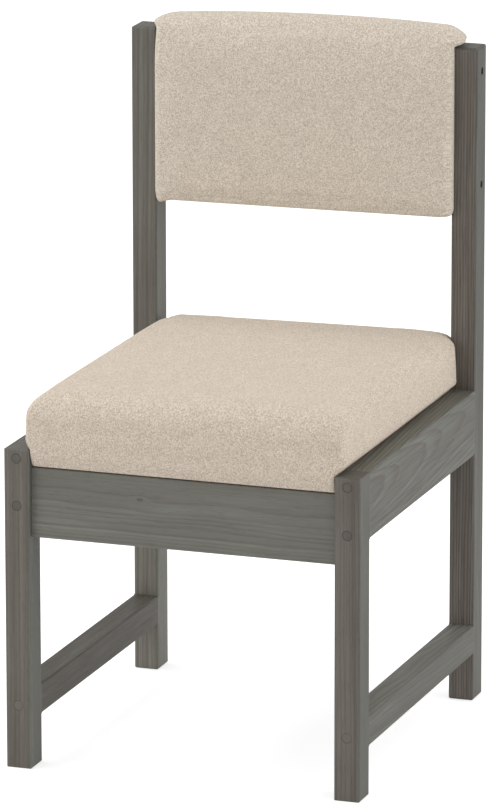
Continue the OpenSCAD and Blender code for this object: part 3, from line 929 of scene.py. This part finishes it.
@dataclass
class Stuffing:
    """How a padded piece swells: an even copy of it is pressed outwards as cloth.

    most caps how far a point moves, and points that are less free than held stay where they are.
    """

    voxel: float = 5 * MM
    pressure: float = 4.0
    frames: int = 20
    quality: int = 6
    stretch: float = 22.0
    bend: float = 3.0
    weight: float = 0.3
    most: float = 2.5 * MM
    held: float = 0.02

    def even_copy(self, form: bpy.types.Object) -> bpy.types.Object:
        """Copies a form, and gives the copy a mesh of evenly sized faces."""
        copy = placed("stuffing", form.data.copy())
        remesh = copy.modifiers.new("even", "REMESH")
        remesh.mode = "VOXEL"
        remesh.voxel_size = self.voxel
        self.apply(copy)
        return copy

    def apply(self, piece: bpy.types.Object) -> None:
        """Makes what a piece's modifiers show its own mesh, and takes the modifiers off."""
        shown = piece.evaluated_get(bpy.context.evaluated_depsgraph_get())
        mesh = bpy.data.meshes.new_from_object(shown)
        piece.modifiers.clear()
        piece.data = mesh

    def press(self, copy: bpy.types.Object, fixed_points: np.ndarray) -> None:
        """Presses the copy outwards as cloth, and applies the result to its mesh.

        Args:
            copy: The even copy.
            fixed_points: The numbers of the points that stay where they are.
        """
        fixed = copy.vertex_groups.new(name="fixed")
        fixed.add(fixed_points.tolist(), 1.0, "REPLACE")
        cloth = copy.modifiers.new("cloth", "CLOTH")
        cloth.point_cache.frame_start, cloth.point_cache.frame_end = 1, self.frames
        how = cloth.settings
        how.quality = self.quality
        how.mass = self.weight
        how.tension_stiffness = how.compression_stiffness = self.stretch
        how.shear_stiffness = self.stretch / 3
        how.bending_stiffness = self.bend
        how.use_pressure = True
        how.uniform_pressure_force = self.pressure
        how.effector_weights.gravity = 0
        how.vertex_group_mass = fixed.name
        for moment in range(1, self.frames + 1):
            bpy.context.scene.frame_set(moment)
        self.apply(copy)
        bpy.context.scene.frame_set(1)

    def swell(self, form: bpy.types.Object, free: Callable[[np.ndarray], np.ndarray]) -> None:
        """Swells a form.

        The foam inside holds the cloth where it would sink in, so only the outward part of its
        movement counts, up to about the cap, as a hyperbolic tangent.

        Args:
            form: The form, a little smaller than the finished piece.
            free: Gives how free each point is to move, from 0 to 1, from the points' places.
        """
        points, outwards = places(form), facing(form)
        copy = self.even_copy(form)
        start = places(copy)
        self.press(copy, np.flatnonzero(free(start) < self.held))
        moved = carried(start, places(copy) - start, points, self.voxel)
        rise = np.maximum(np.sum(moved * outwards, axis=1), 0)
        bpy.data.objects.remove(copy)
        rise = self.most * np.tanh(rise / self.most) * free(points)
        log.info("%s: swollen by up to %.1f mm, %.1f mm on average", form.name, rise.max() / MM,
                 rise.mean() / MM)
        put(form, points + outwards * rise[:, None])


@dataclass
class Pad:
    """What both pads share: a swollen closed skin, dressed in the upholstery cloth.

    slack is how much smaller than the finished pad its form is, and gap is the room beside it.
    """

    cloth: bpy.types.Material
    slack: float = 1.2 * MM
    gap: float = 0.7 * MM

    def finish(self, piece: bpy.types.Object, stands_for: Iterable[str], fill: float) -> None:
        """Smooths and dresses a pad, hangs it under the root body, and hides the CAD nodes it stands
        for.

        Args:
            piece: The swollen pad.
            stands_for: The CAD nodes that it stands for.
            fill: How full it is, from 0 to 1. Not used.
        """
        piece.data.polygons.foreach_set("use_smooth", np.ones(len(piece.data.polygons), bool))
        piece.data.materials.append(self.cloth)
        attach(piece, "root")
        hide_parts(*stands_for)
        log.info("%s: %d faces", piece.name, len(piece.data.polygons))


@dataclass
class SeatPad(Pad):
    """The seat pad: square between the rails, swollen over them, rounded over its upper edge.

    The edges and corners are radii, and the bellies are how far the sides and the front swell out.
    The heights say over what height each smooth change takes place. level_counts are the numbers of
    levels in the runs from the underside to the top.
    """

    front_edge: float = 30 * MM
    left_edge: float = 22 * MM
    right_edge: float = 14 * MM
    corner: float = 6 * MM
    top_corner: float = 14 * MM
    right_softer: float = 1.2
    low_corner: float = 1.5 * MM
    low_edge: float = 3 * MM
    hem: float = 1.6 * MM
    left_belly: float = 8.5 * MM
    right_belly: float = 13.5 * MM
    belly_rise: float = 14 * MM
    draw_in: float = 0.25
    forward: float = 8.5 * MM
    low_forward: float = 2.5 * MM
    front_belly: float = 2.5 * MM
    box_crown: float = 6 * MM
    crown: float = 5.5 * MM
    lean: float = 3 * MM
    tilt: float = 1.8 * MM
    notch: float = 9 * MM
    right_gap: float = 0.9 * MM
    rest_gap: float = 0.3 * MM
    middle_share: float = 0.04
    side_points: int = 100
    level_counts: tuple[int, ...] = (26, 4, 10, 16, 24, 30)
    rise_power: float = 1.7
    rail_bow: float = 0.2
    slack_height: float = 20 * MM
    hem_height: float = 12 * MM
    free_height: float = 16 * MM
    clear_height: float = 1 * MM
    clear_share: float = 1.3
    bow_power: int = 6
    hem_power: int = 8

    def __post_init__(self) -> None:
        """Takes the pad's place from the timbers round it and from its own solid."""
        low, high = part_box("seat_cover")
        self.low_z, self.top_z = low.z, high.z - self.box_crown
        self.rail_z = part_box("left_side_rail")[1].z + self.rest_gap
        self.half_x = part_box("right_side_rail")[0].x - self.gap
        self.half_y = high.y
        self.post_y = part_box("left_rear_post")[0].y

    def levels(self) -> dict[str, np.ndarray]:
        """The levels from the underside's middle to the top's middle.

        Returns:
            The part of the outline's size that is left, the insets on the four sides, the corners'
            radius, the shares of the swell, of the front's reach and bow and of the crown, and the
            height. The side stands up between the rails, swells over them, and turns in over the
            upper edge as quarter circles, whose radius is largest at the front.
        """
        quarter = math.pi / 2
        edge, corner = self.low_edge, self.low_corner
        under, turn, wall, rise, over, top = (part(count) for count in self.level_counts)
        rise = rise**self.rise_power
        side_z = self.rail_z + (self.top_z - self.front_edge - self.rail_z) * rise
        below = self.front_edge * (1 - np.sin(quarter * over))
        swell, over_swell = self.swell(side_z), self.swell(self.top_z - below)
        sides = ("front", "left", "right", "rear")
        usual = {"share": 1, **dict.fromkeys(sides, 0), "corner": corner, "swell": 0, "reach": 1,
                 "bow": 0, "crown": 0}
        return joined(
            usual,
            {"height": np.full(len(under), self.low_z), **dict.fromkeys(sides, edge), "reach": 0,
             "share": self.middle_share + (1 - self.middle_share) * under},
            {"height": self.low_z + edge * (1 - np.cos(quarter * turn)), "reach": 0,
             **dict.fromkeys(sides, edge * (1 - np.sin(quarter * turn)))},
            {"height": self.low_z + edge + (self.rail_z - self.low_z - edge) * wall,
             "reach": np.sin(quarter * wall), "bow": self.rail_bow * wall},
            {"height": side_z, "corner": corner + (self.corner - corner) * swell, "swell": swell,
             "bow": self.rail_bow + (1 - self.rail_bow) * rise},
            {"height": self.top_z - below, "front": self.front_edge * (1 - np.cos(quarter * over)),
             "left": turned_in(self.left_edge, below), "right": turned_in(self.right_edge, below),
             "rear": turned_in(self.right_edge, below),
             "corner": self.corner + (self.top_corner - self.corner) * (1 - np.cos(quarter * over)),
             "swell": over_swell, "bow": np.cos(quarter * over), "crown": np.sin(quarter * over)},
            {"height": np.full(len(top), self.top_z), "share": 1 - (1 - self.middle_share) * top,
             "front": self.front_edge, "left": self.left_edge, "right": self.right_edge,
             "rear": self.right_edge, "corner": self.top_corner, "swell": 1 - self.draw_in,
             "crown": 1},
        )

    def swell(self, height: np.ndarray) -> np.ndarray:
        """The share of the belly at a height over the rails.

        It grows as a quarter sine up to the belly, and then draws in as the square of the height
        over it.
        """
        round_out = np.sin(math.pi / 2 * np.clip((height - self.rail_z) / self.belly_rise, 0, 1))
        belly_z = self.rail_z + self.belly_rise
        way_up = np.clip((height - belly_z) / (self.top_z - belly_z), 0, 1)
        return round_out - self.draw_in * way_up**2

    def notched(self, y: np.ndarray) -> np.ndarray:
        """The share of the swell that is left at y: it ends at the posts as a quarter sine."""
        return np.sin(math.pi / 2 * np.clip((self.post_y - y) / self.notch, 0, 1))

    def form(self) -> bpy.types.Object:
        """The pad's form before it swells, drawn in by the slack above the rails.

        Returns:
            The form. Round each level runs a rectangle with round corners, the front right one
            softer than the rest. It is widened by the swell in front of the posts. The front bows
            as a parabola across, and the front hem is lifted off the apron. Both fade towards the
            middle with powers of the distance. The top is lifted by a dome that is 1 in the middle
            and falls with the fourth power of the distance, and leans to the left and to the rear.
        """
        level = self.levels()
        slack = self.slack * above(level["height"], self.rail_z, self.slack_height)
        x, y = square_ring(self.side_points)
        share = level["share"]
        inset = np.where(x < 0, level["left"], level["right"] + self.right_gap - self.gap)
        reach = self.low_forward + (self.forward - self.low_forward) * level["reach"]
        half_x = self.half_x - inset - slack
        half_y = self.half_y + np.where(y < 0, reach - level["front"], -level["rear"]) - slack
        softer = 1 + self.right_softer * level["swell"] * ((x > 0) & (y < 0))
        x, y = rounded(x, y, share * half_x, share * half_y, share * level["corner"] * softer)
        belly = np.where(x < 0, self.left_belly, self.right_belly)
        x = x * (1 + level["swell"] * belly * self.notched(y) / self.half_x)
        across, along = (x / self.half_x) ** 2, (y / self.half_y) ** 2
        ahead = np.clip(-y / self.half_y, 0, 1) ** self.bow_power
        y = y - level["bow"] * self.front_belly * (1 - across) * ahead
        lift = self.crown * (1 - (across**2 + along**2) / 2)
        lift = lift + self.lean * x / self.half_x - self.tilt * y / self.half_y
        low = 1 - above(level["height"], self.low_z, self.hem_height)
        hem = self.hem * low * np.clip(-y / self.half_y, 0, 1) ** self.hem_power
        return lofted("seat_cushion", x, y, level["height"] - slack + level["crown"] * lift + hem)

    def free(self, points: np.ndarray) -> np.ndarray:
        """How free each point is to swell: not between the rails, fully over the upper edge."""
        return above(points[:, 2], self.rail_z, self.free_height)

    def keep_clear(self, piece: bpy.types.Object) -> None:
        """Holds the pad off the posts, and inside the rails below their tops."""
        x, y, z = places(piece).T
        over = above(z, self.rail_z, self.clear_height) * self.notched(y)
        limit = self.half_x + self.clear_share * self.right_belly * over
        put(piece, np.stack([np.clip(x, -limit, limit), np.minimum(y, self.half_y),
                             np.maximum(z, self.low_z)], axis=1))

    def build(self) -> bpy.types.Object:
        """Builds, swells and dresses the pad."""
        piece = self.form()
        Stuffing().swell(piece, self.free)
        self.keep_clear(piece)
        self.finish(piece, ("seat_cover", "seat_foam"), fill=0.95)
        return piece


@dataclass
class BackPad(Pad):
    """The back pad: flat sides between the posts, rolled over its upper edge, fuller in front.

    The top measures are how far the upper edge turns in at each side, and puff is how far it stands
    out over the right post. The spans and heights say where each smooth change takes place, and the
    rooms how far the pad may stand out over the posts and in front of them. The crease's depth has
    shares that are even, that grow towards the ends, and that waver as two sines, each given by its
    turns and its start.
    """

    front_corner: float = 12 * MM
    rear_corner: float = 5 * MM
    bottom_edge: float = 11 * MM
    bottom_side: float = 3 * MM
    top_front: float = 21 * MM
    lean_back: float = 0.3
    lean_start: float = 48 * MM
    top_rear: float = 14 * MM
    top_left: float = 31 * MM
    top_right: float = 24 * MM
    belly: float = 5 * MM
    belly_shares: Pair = (0.6, 1.6)
    box_crown: float = 8 * MM
    crown: float = 6.8 * MM
    lean: float = 3.8 * MM
    puff: float = 16.5 * MM
    left_puff_share: float = 0.6
    proud: float = 6 * MM
    drop: float = 0.5 * MM
    low_lean: float = 2 * MM
    ear: float = 4 * MM
    middle_share: float = 0.06
    side_points: int = 90
    level_counts: tuple[int, ...] = (10, 10, 60, 24, 12)
    rear_puff_share: float = 1 / 3
    corner_share: float = 0.9
    proud_span: Pair = (-2 * MM, 8 * MM)
    dome_power: float = 2.2
    low_share: float = 0.35
    post_span: float = 4 * MM
    free_height: float = 10 * MM
    side_span: Pair = (12 * MM, 6 * MM)
    clear_height: float = 5 * MM
    over_room: float = 22 * MM
    before_room: float = 5.5 * MM
    before_span: Pair = (0.3 * MM, 3 * MM)
    crease_place: float = 8 * MM
    crease_wave: float = 1 * MM
    crease_width: float = 1.8 * MM
    crease_depth: float = 2.4 * MM
    crease_turns: float = 9
    crease_shares: Triple = (0.6, 0.3, 0.25)
    crease_waver: tuple[Pair, Pair] = ((7, 2), (3, 0.5))
    crease_span: Pair = (0.1, 0.5)
    ear_place: float = 7 * MM
    ear_width: float = 5 * MM
    ear_height: float = 14 * MM

    def __post_init__(self) -> None:
        """Takes the pad's place from the posts and from its own solid."""
        low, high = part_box("back_cover")
        self.low_z, self.top_z = low.z, high.z - self.box_crown
        post_low, post_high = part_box("right_rear_post")
        self.half_x = post_low.x - self.gap
        self.post_z, self.post_y = post_high.z, post_low.y
        self.front_y, self.rear_y = low.y + self.belly, high.y

    def levels(self) -> dict[str, np.ndarray]:
        """The levels from the underside's middle to the ridge.

        Returns:
            The part of the outline's size that is left, how far the bottom edge and the upper edge
            have turned in, the shares of the puff and of the crown, and the height. Both edges
            turn as quarter ellipses, and the puff grows as a quarter sine over the first third of
            the upper one.
        """
        quarter = math.pi / 2
        edge = self.bottom_edge
        under, turn, wall, over, top = (part(count) for count in self.level_counts)
        return joined(
            {"share": 1, "bottom": 0, "top": 0, "puff": 0, "crown": 0},
            {"height": np.full(len(under), self.low_z), "bottom": 1,
             "share": self.middle_share + (1 - self.middle_share) * under},
            {"height": self.low_z + edge * (1 - np.cos(quarter * turn)),
             "bottom": 1 - np.sin(quarter * turn)},
            {"height": self.low_z + edge + (self.post_z - self.low_z - edge) * wall},
            {"height": self.post_z + (self.top_z - self.post_z) * np.sin(quarter * over),
             "top": 1 - np.cos(quarter * over), "crown": np.sin(quarter * over) ** 2,
             "puff": np.sin(quarter * np.minimum(3 * over, 1))},
            {"height": np.full(len(top), self.top_z), "share": 1 - (1 - self.middle_share) * top,
             "top": 1, "puff": 1, "crown": 1},
        )

    def form(self) -> bpy.types.Object:
        """The pad's form before it swells, drawn in by the slack.

        Returns:
            The form. Round each level runs a rectangle with round corners in plan. The front
            swells as a parabola across and up, and leans back below the upper edge as a parabola
            that goes on straight above the posts. Its right side stands a little over the post in
            front of it. The upper edge is domed, leans to the left, and puffs out over the right
            post and less over the left one.
        """
        level = self.levels()
        share, bottom, top, height = level["share"], level["bottom"], level["top"], level["height"]
        x, y = square_ring(self.side_points)
        top_side = np.where(x < 0, self.top_left, self.top_right)
        side = self.half_x - self.slack - self.bottom_side * bottom - top_side * top
        front = self.front_y + self.slack + self.bottom_edge * bottom + self.top_front * top
        start = self.lean_start
        up = np.maximum(height - self.post_z + start, 0)
        front = front + self.lean_back * np.where(up < start, up**2 / start / 2, up - start / 2)
        rear = self.rear_y - self.slack - self.bottom_side * bottom - self.top_rear * top
        half_y = (rear - front) / 2
        puff = self.puff * level["puff"]
        corner = np.where(y < 0, self.front_corner + puff,
                          self.rear_corner + puff * self.rear_puff_share)
        corner = np.minimum(corner, self.corner_share * half_y)
        px, py = rounded(x, y, share * side, share * half_y, share * corner)
        puff = puff * np.where(px > 0, 1, self.left_puff_share)
        flat = (1 - top) * (1 - bottom)
        before = self.proud * step_up(-py, *self.proud_span) * flat * (px > 0)
        px = px * (1 + (puff + before) / self.half_x)
        way = (height - self.low_z) / (self.post_z - self.low_z)
        across = 1 - (px / self.half_x) ** 2
        least, more = self.belly_shares
        swell = self.belly * (least + more * np.clip(way * (1 - way), 0, 1)) * flat
        py = py + (rear + front) / 2 - swell * across * (py < 0)
        dome = self.crown * (1 - np.abs(px / self.half_x) ** self.dome_power)
        dome = dome + self.lean * px / self.half_x
        low_lift = self.low_lean * px / self.half_x - self.drop
        low_lift = low_lift * (1 - step_up(way, 0, self.low_share))
        return lofted("back_cushion", px, py, height + level["crown"] * dome + low_lift)

    def free(self, points: np.ndarray) -> np.ndarray:
        """How free each point is to swell: hardly at the sides between the posts."""
        x, y, z = points.T
        between = step_up(y, self.post_y - self.post_span, self.post_y + self.post_span)
        between = between * (1 - above(z, self.post_z, self.free_height))
        return 1 - between * step_up(np.abs(x), *(self.half_x - depth for depth in self.side_span))

    def keep_clear(self, piece: bpy.types.Object) -> None:
        """Holds the pad off the posts."""
        x, y, z = places(piece).T
        over = above(z, self.post_z, self.clear_height)
        before = step_up(self.post_y - y, *self.before_span)
        limit = self.half_x + np.maximum(over * self.over_room, before * self.before_room)
        put(piece, np.stack([np.clip(x, -limit, limit), np.minimum(y, self.rear_y), z], axis=1))

    def crease(self, piece: bpy.types.Object) -> None:
        """Presses in the crease where the cover turns under the pad, and pulls out a small ear.

        The groove is a bell curve of the height over a wavy line above the lower edge. Its depth
        grows towards the ends with the square of the distance and wavers as a product of two
        sines. The ear is a bell curve of the distance along from the lower left corner.
        """
        points, outwards = places(piece), facing(piece)
        x, z = points[:, 0], points[:, 2]
        along = x / self.half_x
        line = self.low_z + self.low_lean * along + self.crease_place
        line = line + self.crease_wave * np.sin(self.crease_turns * along)
        even, ends, waver = self.crease_shares
        (turns, start), (less, later) = self.crease_waver
        waver = waver * np.sin(turns * along + start) * np.sin(less * along + later)
        depth = even + ends * along**2 + waver
        groove = np.exp(-(((z - line) / self.crease_width) ** 2)) * depth
        groove = groove * step_up(-outwards[:, 1], *self.crease_span)
        points = points - outwards * (self.crease_depth * groove)[:, None]
        ear = np.exp(-(((points[:, 0] + self.half_x - self.ear_place) / self.ear_width) ** 2))
        low = 1 - above(points[:, 2], self.low_z, self.ear_height)
        points[:, 2] -= self.ear * ear * low
        put(piece, points)

    def build(self) -> bpy.types.Object:
        """Builds, swells, creases and dresses the pad."""
        piece = self.form()
        Stuffing(voxel=4 * MM).swell(piece, self.free)
        self.crease(piece)
        self.keep_clear(piece)
        self.finish(piece, ("back_cover", "back_foam"), fill=0.9)
        return piece


@dataclass
class Timbers:
    """The frame's timbers, each with its own cut. knot_place is the apron knot's X and Z."""

    finish: StainedPine
    knot_place: Pair = (-0.056, 0.355)

    def apron_knot(self) -> Triple:
        """The knot on the front apron's face, as seen with the fibres along Z."""
        low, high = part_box("front_apron")
        x, z = self.knot_place
        return ((low.z + high.z) / 2 - z, (low.y - high.y) / 2, x - (low.x + high.x) / 2)

    def cuts(self) -> dict[str, Cut]:
        """Where each timber was cut from its trunk, by its node's name."""
        return {
            # The front, top and lower-end factors here are painted light and shade on single faces and
            # on the low ends.
            "left_front_leg": Cut(Grain.UPRIGHT, (-0.071, 0.012), (0.006, 0.0), ring=5 * MM, seed=1.3,
                                  tone=0.96, front=(1.03, 0.93, 0.89), figure=0.45, streaks=0.4),
            "right_front_leg": Cut(Grain.UPRIGHT, (-0.064, 0.006), (-0.008, 0.0), ring=5.5 * MM,
                                   seed=4.1, tone=0.75, front=(1.3, 1.17, 1.13), top=(1.3, 1.25, 1.2),
                                   figure=0.5, streaks=0.5),
            "left_rear_post": Cut(Grain.UPRIGHT, (-0.080, -0.008), (0.004, 0.0), ring=6 * MM, seed=7.7,
                                  tone=0.92, front=(1.09, 1.03, 1.01), foot_light=1.55, figure=0.5,
                                  streaks=0.5),
            "right_rear_post": Cut(Grain.UPRIGHT, (-0.058, 0.004), (0.005, 0.0), ring=3.4 * MM,
                                   seed=9.2, tone=0.65, front=(1.62, 1.45, 1.45), top=(1.35, 1.33, 1.3),
                                   foot_light=1.25, figure=0.9, streaks=0.8),
            # Painted shade: its top is darkened as if in the seat pad's shadow.
            "left_side_rail": Cut(Grain.LENGTHWAYS, (0.031, -0.006), (0.05, 0.01), seed=12.4,
                                  top=(0.76, 0.74, 0.72)),
            # Painted light: its top is lightened against the shade of the seat pad over it.
            "right_side_rail": Cut(Grain.LENGTHWAYS, (-0.036, -0.014), (-0.055, 0.0), ring=4.4 * MM,
                                   seed=15.8, tone=0.93, top=(1.22, 1.22, 1.18), figure=1.1,
                                   streaks=0.8),
            "left_stretcher": Cut(Grain.LENGTHWAYS, (0.028, 0.004), (0.03, 0.02), seed=18.3, tone=0.69,
                                  tint=(1.02, 0.94, 0.88), top=(0.99, 0.99, 0.98)),
            "right_stretcher": Cut(Grain.LENGTHWAYS, (-0.022, -0.058), (0.0, 0.035), ring=5 * MM,
                                   wander=16 * MM, seed=21.9, tone=0.88, top=(1.85, 1.85, 1.81),
                                   figure=0.85, streaks=0.4),
            "front_apron": Cut(Grain.CROSSWAYS, (-0.030, 0.034), (0.011, 0.0), ring=5 * MM,
                               wander=12 * MM, seed=24.6, knot=self.apron_knot(), knot_size=2 * MM,
                               tone=1.3, figure=0.45, streaks=0.25),
            "rear_apron": Cut(Grain.CROSSWAYS, (0.066, 0.03), (-0.02, 0.0), seed=27.1),
        }

    def build(self) -> None:
        """Dresses every timber."""
        for node, cut in self.cuts().items():
            dress([node], self.finish.material("pine_" + node, node, cut))
            log.info("%s: grain %s", node, cut.grain.name.lower())


@dataclass
class Joinery:
    """Everything that holds the frame and the pads together."""

    blocks: tuple[str, ...] = ("front_left_corner_block", "front_right_corner_block",
                               "rear_left_corner_block", "rear_right_corner_block")
    plated: tuple[str, ...] = ("frame_screws", "block_screws", "seat_screws", "seat_staples",
                               "back_staples")
    zinc: Steel = Steel("zinc_steel", shade(196, 196, 192), shade(160, 160, 156), 0.34)
    black: Steel = Steel("black_steel", shade(26, 26, 28), shade(12, 12, 13), 0.5)
    plug_gap: float = 5 * MM

    def plug_places(self) -> tuple[list[float], float, float]:
        """Finds the plugs.

        Returns:
            The heights of their centres, their distance from the middle and their radius, all
            from the places of the plugs' own points.
        """
        points = places(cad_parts["plugs"])
        heights = np.unique(np.round(points[:, 2], 4))
        starts = np.flatnonzero(np.diff(heights, prepend=-1) > self.plug_gap)
        ends = np.append(starts[1:], len(heights)) - 1
        centres = (heights[starts] + heights[ends]) / 2
        near, far = np.abs(points[:, 0]).min(), np.abs(points[:, 0]).max()
        return centres.tolist(), float(far + near) / 2, float(far - near) / 2

    def build(self) -> None:
        """Dresses every fastener, block and board."""
        raw, ply = RawPine(), Plywood()
        looks = (
            (["plugs"], PlugEnd().material(*self.plug_places())),
            (self.blocks, raw.material(Grain.UPRIGHT)),
            (["apron_dowels"], raw.material(Grain.CROSSWAYS)),
            (self.plated, self.zinc.material()),
            (["back_screws"], self.black.material()),
            (["seat_deck"], ply.material("plywood_deck", "seat_deck", thin=2, plies=9)),
            (["back_board"], ply.material("plywood_back", "back_board", thin=1, plies=11)),
            (["seat_dust_cover"], DustCloth().material()),
        )
        for nodes, material in looks:
            dress(nodes, material)
        log.info("joinery: %d nodes dressed", sum(len(nodes) for nodes, _ in looks))


@dataclass(frozen=True)
class Lamp:
    """A large soft square lamp that faces the chair's middle.

    way is the direction from the middle to the lamp, and power is in watts.
    """

    name: str
    way: Triple
    distance: float
    power: float
    size: float = 3.0

    def hang(self, target: Vector) -> None:
        """Hangs the lamp so that it faces the target."""
        light = bpy.data.lights.new(self.name, "AREA")
        light.size = self.size
        light.energy = self.power
        lamp = placed(self.name, light)
        lamp.location = target + Vector(self.way).normalized() * self.distance
        lamp.rotation_mode = "QUATERNION"
        lamp.rotation_quaternion = (target - lamp.location).to_track_quat("-Z", "Y")


@dataclass
class Studio:
    """The floor, the light and the camera.

    focus_px is the lens's focal length in pixels of a picture whose long side is long_side_px.
    """

    azimuth: float = math.radians(19.293)
    elevation: float = math.radians(14.244)
    roll: float = math.radians(-0.066)
    distance: float = 8.79727
    target: Triple = (0.00008, 0.0, 0.42279)
    focus_px: float = 7067.47
    long_side_px: float = 808.0
    sensor: float = 36.0
    sky: float = 0.64
    floor_size: float = 14.0
    floor_grey: float = 0.8
    floor_glow: float = 0.62
    lamps: tuple[Lamp, ...] = (Lamp("low_left", (-0.70, -0.70, 0.20), 6.0, 53.0),
                               Lamp("high_left", (-0.60, 0, 0.80), 4.5, 68.0),
                               Lamp("right", (0.95, 0.05, 0.30), 4.5, 61.0))

    def seen(self, graph: Graph, *rays: str) -> Wire:
        """Puts out 1 for the kinds of rays that are named and 0 for the rest."""
        path = graph.add("LightPath").outputs
        share, *others = [Wire(graph, path[f"Is {ray} Ray"]) for ray in rays]
        for other in others:
            share = share.most(other)
        return share

    def floor(self) -> None:
        """Lays a plain pale floor, which glows only as the camera or a mirror sees it."""
        half = self.floor_size / 2
        corners = [(-half, -half, 0), (half, -half, 0), (half, half, 0), (-half, half, 0)]
        ground = made("floor", corners, [(0, 1, 2, 3)])
        material = bpy.data.materials.new("floor_paint")
        material.use_nodes = True
        graph = Graph(material.node_tree)
        lit = graph.run("BsdfDiffuse", {"Color": (self.floor_grey,) * 3})
        glow = graph.run("Emission", {"Color": (1, 1, 1), "Strength": self.floor_glow})
        both = graph.run("AddShader", {0: lit, 1: glow})
        choose = graph.run("MixShader", {0: self.seen(graph, "Camera", "Glossy"), 1: lit, 2: both})
        graph.add("OutputMaterial", {"Surface": choose})
        ground.data.materials.append(material)

    def world(self) -> None:
        """Surrounds the chair with even light, and shows the camera a white backdrop."""
        world = bpy.data.worlds.new("studio")
        world.use_nodes = True
        graph = Graph(world.node_tree)
        seen = self.seen(graph, "Camera", "Transmission", "Glossy")
        strength = graph.blend(seen, self.sky, 1)
        backdrop = graph.run("Background", {"Color": (1, 1, 1), "Strength": strength})
        graph.add("OutputWorld", {"Surface": backdrop})
        bpy.context.scene.world = world

    def camera(self) -> None:
        """Sets up the camera: it looks at the target from its azimuth and elevation."""
        cos_el = math.cos(self.elevation)
        ahead = Vector((-math.sin(self.azimuth) * cos_el, math.cos(self.azimuth) * cos_el,
                        -math.sin(self.elevation)))
        right = Vector((math.cos(self.azimuth), math.sin(self.azimuth), 0))
        up = right.cross(ahead)
        turned = right * math.cos(self.roll) + up * math.sin(self.roll)
        over = up * math.cos(self.roll) - right * math.sin(self.roll)
        lens = bpy.data.cameras.new("camera")
        lens.sensor_width = self.sensor
        lens.lens = self.focus_px * self.sensor / self.long_side_px
        lens.clip_start, lens.clip_end = 0.1, 60
        camera = placed("camera", lens)
        camera.matrix_world = Matrix.Translation(Vector(self.target) - ahead * self.distance) @ Matrix(
            (turned, over, -ahead)).transposed().to_4x4()
        bpy.context.scene.camera = camera

    def build(self) -> None:
        """Sets the studio up."""
        self.camera()
        self.floor()
        self.world()
        for lamp in self.lamps:
            lamp.hang(Vector(self.target))
        bpy.context.scene.view_settings.view_transform = "Standard"
        log.info("studio ready")


def main() -> None:
    logging.basicConfig(level=logging.INFO, format="%(message)s")
    Studio().build()
    Timbers(StainedPine()).build()
    Joinery().build()
    SeatPad(Upholstery().material()).build()
    greyer = Upholstery("greyer_upholstery_cloth", body=shade(226, 213, 197),
                        light=shade(248, 238, 223), grey=shade(185, 177, 163),
                        brown_fleck_and_shade=shade(190, 171, 148))
    BackPad(greyer.material()).build()


if __name__ == "__main__":
    main()
